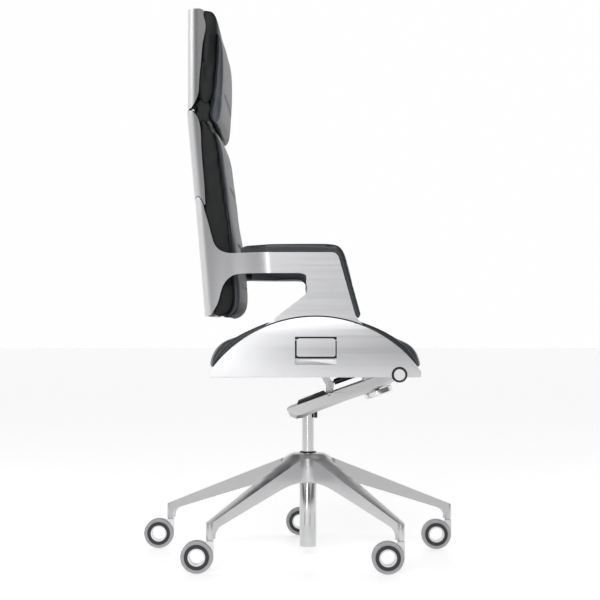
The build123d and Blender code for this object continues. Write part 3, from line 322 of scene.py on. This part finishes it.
THREAD_BLUE = thread("thread_slate", (0.13, 0.145, 0.165))

SLOT_OF = {}
for entry in frame["record"]["materials"]:
    for n in entry.get("nodes", []):
        SLOT_OF[n] = entry["slot"]
REFINED = {"pivot_caps": "cap_satin", "head_shell": "shell_upper", "mid_shell": "shell_upper", "lower_shell": "shell_lower"}
for name, o in nodes.items():
    for s in o.material_slots:
        key = s.material.name.split(".")[0] if s.material else ""
        if key in mats:
            SLOT_OF.setdefault(name, key)
            s.material = mats[REFINED.get(name, key)]


for side in ("right", "left"):
    # painted shade and painted highlight: the pocket walls round the flap lever get the black plastic finish where the
    # gap lies in shade, and the finger scoop under it gets a brighter satin copy of the panel metal as a painted
    # highlight
    o = nodes["side_panel_" + side]
    o.data.materials.append(mats["black_plastic"])
    o.data.materials.append(mats["scoop"])
    dark, light = len(o.data.materials) - 2, len(o.data.materials) - 1
    for p in o.data.polygons:
        c = p.center
        if -0.0304 < c.x < 0.0620 and 0.4606 < c.z < 0.5226 and 0.3003 < abs(c.y) < 0.3094:
            # painted shade on the upper and side walls of the pocket, painted highlight on the scoop floor
            p.material_index = dark if c.z > 0.4784 or abs(p.normal.x) > 0.7 else light


# ---------------------------------------------------------------- machined edges on the metal parts
def soften(node, width, angle=32.0, segments=2):
    o = nodes[node]
    w = o.modifiers.new("joined", "WELD")
    w.merge_threshold = 0.000012
    b = o.modifiers.new("edge", "BEVEL")
    b.width = width
    b.segments = segments
    b.limit_method = "ANGLE"
    b.angle_limit = math.radians(angle)
    b.harden_normals = True
    b.use_clamp_overlap = True
    b.miter_outer = "MITER_ARC"


# ---------------------------------------------------------------- mesh helpers
def link(name, mesh):
    o = bpy.data.objects.new(name, mesh)
    scene.collection.objects.link(o)
    return o


def coords(mesh):
    co = np.zeros(len(mesh.vertices) * 3)
    mesh.vertices.foreach_get("co", co)
    return co.reshape(-1, 3)


def normals(mesh):
    co = np.zeros(len(mesh.vertices) * 3, np.float32)
    mesh.vertex_normals.foreach_get("vector", co)
    return co.reshape(-1, 3).astype(float)


def put(mesh, co):
    mesh.vertices.foreach_set("co", np.ascontiguousarray(co, dtype=np.float32).ravel())
    mesh.update()


def evaluated(o):
    dg = bpy.context.evaluated_depsgraph_get()
    return bpy.data.meshes.new_from_object(o.evaluated_get(dg), depsgraph=dg)


def bake_modifiers(o):
    mesh = evaluated(o)
    o.modifiers.clear()
    o.data = mesh
    return o


def neighbours_mean(mesh, co, passes, keep=0.5):
    """Laplacian smoothing with a share of shrink correction."""
    e = np.zeros(len(mesh.edges) * 2, int)
    mesh.edges.foreach_get("vertices", e)
    e = e.reshape(-1, 2)
    deg = np.bincount(e.ravel(), minlength=len(co)).astype(float)[:, None]
    for k in range(passes):
        for f in (0.6, -0.62 * keep):
            acc = np.zeros_like(co)
            np.add.at(acc, e[:, 0], co[e[:, 1]])
            np.add.at(acc, e[:, 1], co[e[:, 0]])
            co = co + f * (acc / deg - co)
    return co


def soft_from(node, name, voxel, passes, shrink, shape=None, keep=0.5):
    """A new closed form from a CAD soft solid: copied, remeshed, its edges rounded, drawn in a little and then crowned in code."""
    src = nodes[node]
    mesh = src.data.copy()
    if "custom_normal" in mesh.attributes:
        mesh.attributes.remove(mesh.attributes["custom_normal"])
    mesh.materials.clear()
    o = link(name, mesh)
    w = o.modifiers.new("w", "WELD")
    w.merge_threshold = 0.00002
    r = o.modifiers.new("r", "REMESH")
    r.mode = "VOXEL"
    r.voxel_size = voxel
    bake_modifiers(o)
    mesh = o.data
    co = neighbours_mean(mesh, coords(mesh), passes, keep)
    put(mesh, co)
    if shrink:
        co = co - normals(mesh) * shrink
    if shape is not None:
        co = shape(co)
    put(mesh, co)
    for p in mesh.polygons:
        p.use_smooth = True
    return o


def simulate(items, frames=20):
    """Blows the pads up a little with cloth and caps how far any point goes."""
    rest = {}
    for o, pressure, cap, stiff in items:
        m = o.modifiers.new("cloth", "CLOTH")
        s = m.settings
        s.quality = 4
        s.mass = 0.4
        s.tension_stiffness = stiff
        s.compression_stiffness = stiff * 0.6
        s.shear_stiffness = stiff * 0.5
        s.bending_stiffness = 2.5
        s.tension_damping = 8
        s.air_damping = 2
        s.use_pressure = True
        s.uniform_pressure_force = pressure
        s.effector_weights.gravity = 0
        m.collision_settings.use_collision = False
        m.point_cache.frame_start = 1
        m.point_cache.frame_end = frames
        rest[o.name] = coords(o.data)
    for f in range(1, frames + 1):
        scene.frame_set(f)
    dg = bpy.context.evaluated_depsgraph_get()
    for o, pressure, cap, stiff in items:
        mesh = o.evaluated_get(dg).to_mesh()
        moved = coords(mesh) - rest[o.name]
        o.evaluated_get(dg).to_mesh_clear()
        length = np.linalg.norm(moved, axis=1, keepdims=True)
        moved *= np.minimum(1.0, cap / np.maximum(length, 1e-9))
        o.modifiers.clear()
        put(o.data, rest[o.name] + moved)
    scene.frame_set(1)


def subdivide(o, level=1):
    m = o.modifiers.new("s", "SUBSURF")
    m.levels = level
    m.render_levels = level
    bake_modifiers(o)
    for p in o.data.polygons:
        p.use_smooth = True
    return o


def tree_of(o):
    bm = bmesh.new()
    bm.from_mesh(o.data)
    t = BVHTree.FromBMesh(bm)
    bm.free()
    return t


def cast(tree, points, directions, reach=0.08, fallback=True):
    """Points dropped onto a surface along directions, with the surface normals."""
    out, nrm = [], []
    for p, d in zip(points, directions):
        d = Vector(d).normalized()
        hit, n, _, _ = tree.ray_cast(Vector(p) - d * reach, d, reach * 2.0)
        if hit is None:
            if not fallback:
                continue
            hit, n, _, _ = tree.find_nearest(Vector(p))
        out.append(Vector(hit))
        nrm.append(Vector(n))
    return out, nrm


def resample(points, step, closed=False):
    pts = [np.array(p, float) for p in points]
    if closed:
        pts = pts + [pts[0]]
    pts = np.array(pts)
    seg = np.linalg.norm(np.diff(pts, axis=0), axis=1)
    s = np.concatenate([[0], np.cumsum(seg)])
    n = max(2, int(round(s[-1] / step)) + 1)
    t = np.linspace(0, s[-1], n)
    out = np.stack([np.interp(t, s, pts[:, k]) for k in range(pts.shape[1])], 1)
    return out[:-1] if closed else out


def relax(points, passes=3):
    p = np.array(points, float)
    for _ in range(passes):
        p[1:-1] = 0.5 * p[1:-1] + 0.25 * (p[:-2] + p[2:])
    return p


def smooth_line(points, n_per=10):
    """A Catmull-Rom line through points."""
    p = np.array(points, float)
    ext = np.vstack([2 * p[0] - p[1], p, 2 * p[-1] - p[-2]])
    out = []
    for i in range(1, len(ext) - 2):
        a, b, c, d = ext[i - 1], ext[i], ext[i + 1], ext[i + 2]
        for t in np.linspace(0, 1, n_per, endpoint=False):
            out.append(0.5 * ((2 * b) + (c - a) * t + (2 * a - 5 * b + 4 * c - d) * t * t + (3 * b - a - 3 * c + d) * t ** 3))
    out.append(ext[-2])
    return np.array(out)


def groove(o, line, depth, width):
    """Presses a sewn channel into the surface along a line."""
    pts = resample(line, 0.0012)
    kd = kdtree.KDTree(len(pts))
    for i, p in enumerate(pts):
        kd.insert(Vector(p), i)
    kd.balance()
    co, nr = coords(o.data), normals(o.data)
    lo, hi = pts.min(0) - width * 3, pts.max(0) + width * 3
    near = np.nonzero(((co > lo) & (co < hi)).all(1))[0]
    for i in near:
        _, _, d = kd.find(Vector(co[i]))
        if d < width * 3:
            co[i] -= nr[i] * depth * math.exp(-((d / width) ** 2))
    put(o.data, co)


def tube(name, line, radius, sides=8, material=None, flat=1.0):
    """A closed tube along a line, round or flattened."""
    pts = [Vector(p) for p in line]
    bm = bmesh.new()
    rings = []
    up = None
    for i, p in enumerate(pts):
        t = (pts[min(i + 1, len(pts) - 1)] - pts[max(i - 1, 0)]).normalized()
        if up is None:
            up = t.orthogonal().normalized()
        up = (up - t * up.dot(t)).normalized()
        side = t.cross(up)
        shrink = 1.0
        if i == 0 or i == len(pts) - 1:
            shrink = 0.45
        rings.append([bm.verts.new(p + (up * math.cos(a) + side * math.sin(a) * flat) * radius * shrink) for a in [2 * math.pi * k / sides for k in range(sides)]])
    for a, b in zip(rings, rings[1:]):
        for k in range(sides):
            bm.faces.new((a[k], a[(k + 1) % sides], b[(k + 1) % sides], b[k]))
    bm.faces.new(list(reversed(rings[0])))
    bm.faces.new(rings[-1])
    bmesh.ops.recalc_face_normals(bm, faces=bm.faces)
    mesh = bpy.data.meshes.new(name)
    bm.to_mesh(mesh)
    bm.free()
    for p in mesh.polygons:
        p.use_smooth = True
    if material is not None:
        mesh.materials.append(material)
    return link(name, mesh)


def stitches(name, lines, material, pitch=0.0058, length=0.0040, radius=0.00042, lift=0.0001):
    """Single threads lying on the surface beside a seam. lines are lists of (points, normals)."""
    bm = bmesh.new()
    for pts, nrm in lines:
        p = np.array([list(v) for v in pts], float)
        n = np.array([list(v) for v in nrm], float)
        seg = np.linalg.norm(np.diff(p, axis=0), axis=1)
        s = np.concatenate([[0], np.cumsum(seg)])
        count = int(s[-1] / pitch)
        for k in range(count):
            mid = (k + 0.5) * pitch
            ends = [np.array([np.interp(mid + q * length, s, p[:, c]) for c in range(3)]) for q in (-0.5, -0.28, 0.0, 0.28, 0.5)]
            nn = Vector([np.interp(mid, s, n[:, c]) for c in range(3)]).normalized()
            t = (Vector(ends[-1]) - Vector(ends[0])).normalized()
            side = t.cross(nn).normalized()
            rings = []
            for e, (h, r) in zip(ends, ((-0.35, 0.5), (0.7, 0.95), (1.0, 1.0), (0.7, 0.95), (-0.35, 0.5))):
                c = Vector(e) + nn * (lift + radius * 0.6 * h)
                rings.append([bm.verts.new(c + (nn * math.cos(a) + side * math.sin(a)) * radius * r) for a in [2 * math.pi * j / 6 for j in range(6)]])
            for a, b in zip(rings, rings[1:]):
                for j in range(6):
                    bm.faces.new((a[j], a[(j + 1) % 6], b[(j + 1) % 6], b[j]))
            bm.faces.new(list(reversed(rings[0])))
            bm.faces.new(rings[-1])
    bmesh.ops.recalc_face_normals(bm, faces=bm.faces)
    mesh = bpy.data.meshes.new(name)
    bm.to_mesh(mesh)
    bm.free()
    for p in mesh.polygons:
        p.use_smooth = True
    mesh.materials.append(material)
    return link(name, mesh)


def prism(name, outline, half, step_y=0.012):
    """A closed extruded form across the chair from an outline in X and Z, in mm."""
    pts = [(x * MM, z * MM) for x, z in outline]
    ys = np.linspace(-half * MM, half * MM, max(3, int(2 * half * MM / step_y)))
    bm = bmesh.new()
    rows = [[bm.verts.new((x, y, z)) for x, z in pts] for y in ys]
    n = len(pts)
    for a, b in zip(rows, rows[1:]):
        for k in range(n):
            bm.faces.new((a[k], a[(k + 1) % n], b[(k + 1) % n], b[k]))
    bm.faces.new(rows[0])
    bm.faces.new(rows[-1])
    bmesh.ops.recalc_face_normals(bm, faces=bm.faces)
    mesh = bpy.data.meshes.new(name)
    bm.to_mesh(mesh)
    bm.free()
    return link(name, mesh)


# ---------------------------------------------------------------- soft goods
def ease(t):
    t = np.clip(t, 0.0, 1.0)
    return t * t * (3 - 2 * t)


def seat_shape(co):
    """The seat top is dished a little for the sitter and falls away towards its sides."""
    x, y, z = co[:, 0], co[:, 1], co[:, 2]
    top = ease((z - 0.482) / 0.05)
    across = np.clip(np.abs(y) / 0.282, 0, 1)
    dish = 0.006 * np.exp(-((x + 0.03) / 0.14) ** 2) * np.exp(-((np.abs(y) - 0.10) / 0.075) ** 2)
    fall = 0.009 * across ** 3
    roll_in = 0.006 * ease((across - 0.80) / 0.2)
    ends = ease((np.abs(x - 0.02) - 0.20) / 0.04)
    co = co.copy()
    co[:, 2] = z - top * (dish + fall)
    co[:, 0] = x - np.sign(x - 0.02) * ends * roll_in
    return co


def pad_shape(half, depth, fall):
    def shape(co):
        """The front of the pad falls back towards both sides."""
        y = co[:, 1]
        across = np.clip(np.abs(y) / half, 0, 1)
        co = co.copy()
        co[:, 0] -= fall * across ** 4
        return co
    return shape


cushion = soft_from("seat_cushion", "seat_cushion_cover", 0.0058, 7, 0.0022, seat_shape)
back_pad = soft_from("back_pad", "back_pad_cover", 0.0050, 4, 0.0012, pad_shape(0.229, 0.0, 0.007), 0.9)
head_pad = soft_from("head_pad", "head_pad_cover", 0.0045, 4, 0.0012, pad_shape(0.229, 0.0, 0.005), 0.9)
back_liner = soft_from("back_liner", "back_liner_cover", 0.0058, 6, 0.0018, None, 0.8)
head_liner = soft_from("head_liner", "head_liner_cover", 0.0055, 6, 0.0018, None, 0.8)
arm_r = soft_from("arm_pad_right", "arm_pad_right_cover", 0.0040, 4, 0.0008, None, 0.9)
arm_l = soft_from("arm_pad_left", "arm_pad_left_cover", 0.0040, 4, 0.0008, None, 0.9)
bolsters = soft_from("seat_bolsters", "seat_bolster_covers", 0.0040, 3, 0.0004, None, 0.95)

simulate([
    (cushion, 4.0, 0.0060, 18),
    (back_pad, 4.0, 0.0030, 22),
    (head_pad, 4.0, 0.0030, 22),
    (back_liner, 3.0, 0.0030, 22),
    (head_liner, 3.0, 0.0030, 22),
    (arm_r, 3.0, 0.0016, 26),
    (arm_l, 3.0, 0.0016, 26),
])
for o in (cushion, back_pad, head_pad, back_liner, head_liner, arm_r, arm_l, bolsters):
    put(o.data, neighbours_mean(o.data, coords(o.data), 1, 0.9))
    subdivide(o, 1)

for o, slot, body, fill, replaced in (
    (cushion, "pad_leather", "seat", 0.7, "seat_cushion"),
    (back_pad, "pad_leather", "back", 0.7, "back_pad"),
    (head_pad, "pad_leather", "head", 0.7, "head_pad"),
    (back_liner, "liner_leather", "back", 0.8, "back_liner"),
    (head_liner, "liner_leather", "head", 0.8, "head_liner"),
    (arm_r, "arm_leather", "back", 0.8, "arm_pad_right"),
    (arm_l, "arm_leather", "back", 0.8, "arm_pad_left"),
    (bolsters, "arm_leather", "seat", 0.8, "seat_bolsters"),
):
    o.data.materials.clear()
    o.data.materials.append(mats[slot])

# Seams of the seat: two long channels, a cross channel towards the front, and a welt along each side.
SEAT_TOP = [(-220.4, 473.4), (-213.9, 487.6), (-204.4, 500.5), (-190.5, 510.6), (-172, 517.5), (-90, 542), (15, 551), (120, 541.5), (172, 527), (200, 516.5), (215, 510.6), (229.2, 503.2), (239.1, 494.4), (247, 483.4), (252, 470.5)]
seat_line = smooth_line([(x * MM, z * MM) for x, z in SEAT_TOP], 14)
tree = tree_of(cushion)
seams, threads = [], []


def outline_normals(line):
    d = np.gradient(line, axis=0)
    n = np.stack([-d[:, 1], d[:, 0]], 1)
    return n / np.linalg.norm(n, axis=1, keepdims=True)


def long_seam(tree, line, y, flip=1.0):
    ln = resample(line, 0.004)
    n = outline_normals(ln) * flip
    return cast(tree, [(p[0], y, p[1]) for p in ln], [(-q[0], 0, -q[1]) for q in n])


def cross_seam(tree, point, direction, y0, y1):
    ys = np.arange(y0, y1 + 1e-6, 0.004)
    return cast(tree, [(point[0], y, point[1]) for y in ys], [(direction[0], 0, direction[1])] * len(ys))


for y in (-0.212, 0.212):
    seams.append(long_seam(tree, seat_line[4:-4], y))
seams.append(cross_seam(tree, (0.150, 0.536), (-0.2, -1.0), -0.268, 0.268))
for pts, nr in seams:
    groove(cushion, pts, 0.0040, 0.0050)
tree = tree_of(cushion)
for y in (-0.212, 0.212):
    for off in (-0.0045, 0.0045):
        threads.append(long_seam(tree, seat_line[6:-6], y + off))
for dx in (-0.0045, 0.0045):
    threads.append(cross_seam(tree, (0.150 + dx, 0.536), (-0.2, -1.0), -0.262, 0.262))
seat_stitches = stitches("seat_stitching", threads, THREAD_BLUE)

# Welts between the cushion and the side rolls.
seat_welts = []
for side, sy in (("right", -1.0), ("left", 1.0)):
    ln = []
    for a in np.radians(np.linspace(41.5, 139.0, 90)):
        r = 0.2868
        ln.append((0.015 + r * math.cos(a), sy * 0.2822, 0.283 + r * math.sin(a)))
    w = tube("seat_welt_" + side, ln, 0.0019, 8, mats["arm_leather"])
    seat_welts.append(w)

# Back pad: two long channels and two cross channels, with paired stitching.
PAD_FRONT = [(-206, 986), (-200.5, 975), (-196.3, 965), (-187.2, 919.9), (-181.2, 874.9), (-176.7, 841.1), (-174.4, 818.6), (-169.9, 784.8), (-161.6, 739.8), (-155, 683), (-150.3, 627), (-150.3, 604.6), (-155.3, 582.1), (-163, 573)]
front = smooth_line([(x * MM, z * MM) for x, z in PAD_FRONT], 10)
tree = tree_of(back_pad)
seams = [long_seam(tree, front[3:-3], y, -1.0) for y in (-0.168, 0.168)]
cross_at = [(-0.1790, 0.860), (-0.1605, 0.730), (-0.1520, 0.640)]
seams += [cross_seam(tree, (x, z), (-1.0, 0.08), -0.168, 0.168) for x, z in cross_at]
for pts, nr in seams:
    groove(back_pad, pts, 0.0036, 0.0046)
tree = tree_of(back_pad)
threads = [long_seam(tree, front[5:-5], y + off, -1.0) for y in (-0.168, 0.168) for off in (-0.0042, 0.0042)]
threads += [cross_seam(tree, (x, z + dz), (-1.0, 0.08), -0.160, 0.160) for x, z in cross_at for dz in (-0.0042, 0.0042)]
back_stitches = stitches("back_pad_stitching", threads, THREAD_BLUE)

# Head pad: one welted edge and two long channels.
HEAD_FRONT = [(-200.5, 1211), (-197.5, 1204), (-193.6, 1190), (-190.2, 1145), (-190.9, 1100), (-193.1, 1066), (-194.7, 1037), (-196.4, 1024), (-200, 1013)]
hfront = smooth_line([(x * MM, z * MM) for x, z in HEAD_FRONT], 10)
tree = tree_of(head_pad)
seams = [long_seam(tree, hfront[3:-3], y, -1.0) for y in (-0.168, 0.168)]
seams.append(cross_seam(tree, (-0.1925, 1.075), (-1.0, 0.0), -0.168, 0.168))
for pts, nr in seams:
    groove(head_pad, pts, 0.0032, 0.0044)
tree = tree_of(head_pad)
threads = [long_seam(tree, hfront[5:-5], y + off, -1.0) for y in (-0.168, 0.168) for off in (-0.0042, 0.0042)]
threads += [cross_seam(tree, (-0.1925, 1.075 + dz), (-1.0, 0.0), -0.160, 0.160) for dz in (-0.0042, 0.0042)]
head_stitches = stitches("head_pad_stitching", threads, THREAD_BLUE)

# Welts round the sides where pad and liner are sewn together.
LINER_FRONT = [(-214, 985), (-206.6, 965), (-199.2, 919.9), (-192.4, 874.9), (-187.9, 841), (-184.5, 818.6), (-178.9, 784.8), (-174.4, 739.8), (-169.5, 660), (-167.7, 604.6), (-174.4, 580), (-190, 566.5)]
HEAD_REAR = [(-204.4, 1204), (-204.4, 1190), (-206.6, 1145), (-210.1, 1100), (-214.5, 1065.7), (-217.5, 1040)]
welts = []
for label, pts, body in (("back", LINER_FRONT, "back"), ("head", HEAD_REAR, "head")):
    ln2 = resample(smooth_line([(x * MM, z * MM) for x, z in pts], 10), 0.005)
    for side, sy in (("right", -1.0), ("left", 1.0)):
        w = tube(f"{label}_welt_{side}", [(p[0], sy * 0.2278, p[1]) for p in ln2], 0.0017, 8, mats["liner_leather"])
        welts.append((w, body))

# The neck gusset: folded leather that closes the gap between the back and the head.
GUSSET = [(-258, 1006), (-240, 1003), (-228, 1008), (-221, 1020), (-224, 1029), (-219, 1037), (-223, 1047), (-229, 1060), (-243, 1062), (-252, 1056), (-257, 1046), (-252, 1036), (-257, 1026), (-262, 1016)]
gl = smooth_line(GUSSET + [GUSSET[0]], 5)[:-1]
gusset = prism("neck_gusset", [tuple(p) for p in gl], 221.0, 0.010)
r = gusset.modifiers.new("r", "REMESH")
r.mode = "VOXEL"
r.voxel_size = 0.005
bake_modifiers(gusset)
co = neighbours_mean(gusset.data, coords(gusset.data), 2, 0.9)
fold = 0.0012 * np.sin(co[:, 1] * 55.0) * np.sin(co[:, 2] * 140.0)
co[:, 0] += fold
put(gusset.data, co)
subdivide(gusset, 1)
gusset.data.materials.clear()
gusset.data.materials.append(mats["liner_leather"])

# ---------------------------------------------------------------- what each piece rides on
for o, slot, body, fill, replaced in (
    (cushion, "pad_leather", "seat", 0.7, "seat_cushion"),
    (back_pad, "pad_leather", "back", 0.7, "back_pad"),
    (head_pad, "pad_leather", "head", 0.7, "head_pad"),
    (back_liner, "liner_leather", "back", 0.8, "back_liner"),
    (head_liner, "liner_leather", "head", 0.8, "head_liner"),
    (arm_r, "arm_leather", "back", 0.8, "arm_pad_right"),
    (arm_l, "arm_leather", "back", 0.8, "arm_pad_left"),
    (bolsters, "arm_leather", "seat", 0.8, "seat_bolsters"),
):
    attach(o, body)
    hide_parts(replaced)
for o, slot, body in (
    (seat_stitches, "pad_leather", "seat"),
    (back_stitches, "pad_leather", "back"),
    (head_stitches, "pad_leather", "head"),
):
    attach(o, body)
for o in seat_welts:
    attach(o, "seat")
for o, body in welts:
    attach(o, body)
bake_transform(gusset)

for n in ("side_panel_right", "side_panel_left"):
    soften(n, 0.0008)
for n in ("flap_lever_right", "flap_lever_left", "carrier_cover", "rocker_link"):
    soften(n, 0.0005)
for n in ("star_base", "carrier_bar"):
    soften(n, 0.0010)
for n in ("pivot_rings", "pivot_caps", "pivot_bosses", "guide_bush", "stand_tube", "tension_knob"):
    soften(n, 0.0004)
for i in range(1, 6):
    soften(f"caster_{i}_body", 0.0004)

# ---------------------------------------------------------------- floor, light and camera
bm = bmesh.new()
bmesh.ops.create_grid(bm, x_segments=40, y_segments=40, size=90.0)
mesh = bpy.data.meshes.new("floor")
bm.to_mesh(mesh)
bm.free()
floor = link("floor", mesh)
floor.location = (0, 0, -0.0004)
m, nt, b, obj = new_material("studio_floor")
f1 = noise(nt, obj, 1.2, 3.0, 0.5)
nt.links.new(ramp(nt, f1, [(0.3, (0.88, 0.88, 0.88)), (0.7, (0.90, 0.90, 0.90))]), b.inputs["Base Color"])
b.inputs["Emission Color"].default_value = (1.0, 1.0, 1.0, 1.0)
b.inputs["Emission Strength"].default_value = 0.48
nt.links.new(span(nt, f1, 0.42, 0.48), b.inputs["Roughness"])
b.inputs["IOR"].default_value = 1.45
b.inputs["Specular IOR Level"].default_value = 0.14
floor.data.materials.append(m)

# A white dome closes the studio behind the chair from every side. It lights nothing and is not mirrored in the metal.
bm = bmesh.new()
bmesh.ops.create_uvsphere(bm, u_segments=64, v_segments=32, radius=40.0)
mesh = bpy.data.meshes.new("dome")
bm.to_mesh(mesh)
bm.free()
for p in mesh.polygons:
    p.use_smooth = True
dome = link("dome", mesh)
m, nt, b, obj = new_material("studio_dome")
b.inputs["Base Color"].default_value = (0.0, 0.0, 0.0, 1.0)
b.inputs["Specular IOR Level"].default_value = 0.0
nt.links.new(ramp(nt, noise(nt, obj, 0.01, 2.0, 0.5), [(0.3, (0.99, 0.99, 0.99)), (0.7, (1.0, 1.0, 1.0))]), b.inputs["Emission Color"])
b.inputs["Emission Strength"].default_value = 1.0
dome.data.materials.append(m)
for kind in ("diffuse", "glossy", "transmission", "volume_scatter", "shadow"):
    setattr(dome, "visible_" + kind, False)

world = bpy.data.worlds.new("studio")
scene.world = world
world.use_nodes = True
wn = world.node_tree
wn.nodes.clear()
wout = wn.nodes.new("ShaderNodeOutputWorld")
bg = wn.nodes.new("ShaderNodeBackground")
wn.links.new(bg.outputs[0], wout.inputs[0])
wc = wn.nodes.new("ShaderNodeTexCoord")


def lobe(direction, start, full):
    """0 away from a direction of the room, 1 near it."""
    d = wn.nodes.new("ShaderNodeVectorMath")
    d.operation = "DOT_PRODUCT"
    wn.links.new(wc.outputs["Generated"], d.inputs[0])
    d.inputs[1].default_value = Vector(direction).normalized()
    r = wn.nodes.new("ShaderNodeMapRange")
    r.interpolation_type = "SMOOTHSTEP"
    r.inputs["From Min"].default_value = math.cos(math.radians(start))
    r.inputs["From Max"].default_value = math.cos(math.radians(full))
    wn.links.new(d.outputs["Value"], r.inputs["Value"])
    return r.outputs["Result"]


def wmath(op, a, b):
    n = wn.nodes.new("ShaderNodeMath")
    n.operation = op
    for k, v in enumerate((a, b)):
        if isinstance(v, (int, float)):
            n.inputs[k].default_value = v
        else:
            wn.links.new(v, n.inputs[k])
    return n.outputs["Value"]


level = None
for direction, start, full, amount in (
    ((0, 0.25, 1), 56, 26, 0.62),
    ((0.0, -1.0, -0.05), 108, 82, 0.82),
):
    k = wmath("SUBTRACT", 1.0, wmath("MULTIPLY", lobe(direction, start, full), amount))
    level = k if level is None else wmath("MULTIPLY", level, k)
wn.links.new(wmath("MULTIPLY", level, 1.06), bg.inputs["Strength"])
bg.inputs["Color"].default_value = (1.0, 1.0, 1.0, 1.0)


def area(name, place, target, size, power, size_y=None):
    light = bpy.data.lights.new(name, "AREA")
    light.shape = "RECTANGLE"
    light.size = size
    light.size_y = size_y or size
    light.energy = power
    o = bpy.data.objects.new(name, light)
    scene.collection.objects.link(o)
    o.location = place
    o.rotation_euler = (Vector(target) - Vector(place)).to_track_quat("-Z", "Y").to_euler()
    o.visible_camera = False
    return o


# A wide softbox above and to the left of the camera, an upright strip beside it, and one behind the chair's back.
area("softbox", (-0.5, -3.5, 2.9), (0, 0, 0.7), 2.6, 60.0, 1.4)
area("strip", (-0.85, -4.2, 0.9), (0, 0, 0.7), 0.30, 11.0, 2.2)
area("rear", (-3.2, 0.75, 2.2), (-0.1, 0, 0.8), 0.8, 8.0, 1.4)
area("front_side", (3.2, 0.75, 2.2), (0.1, 0, 0.4), 0.8, 5.0, 1.4)

cam_data = bpy.data.cameras.new("camera")
cam = bpy.data.objects.new("camera", cam_data)
scene.collection.objects.link(cam)
cam_data.lens = 93.4
cam_data.sensor_width = 36.0
cam.location = (-0.019, -3.737, 0.540)
cam.rotation_euler = (math.radians(91.06), 0.0, 0.0)
cam_data.clip_end = 400.0
scene.camera = cam
scene.view_settings.view_transform = "Standard"
scene.view_settings.look = "None"
scene.view_settings.exposure = 0.0
scene.view_settings.gamma = 1.0

bpy.context.view_layer.update()
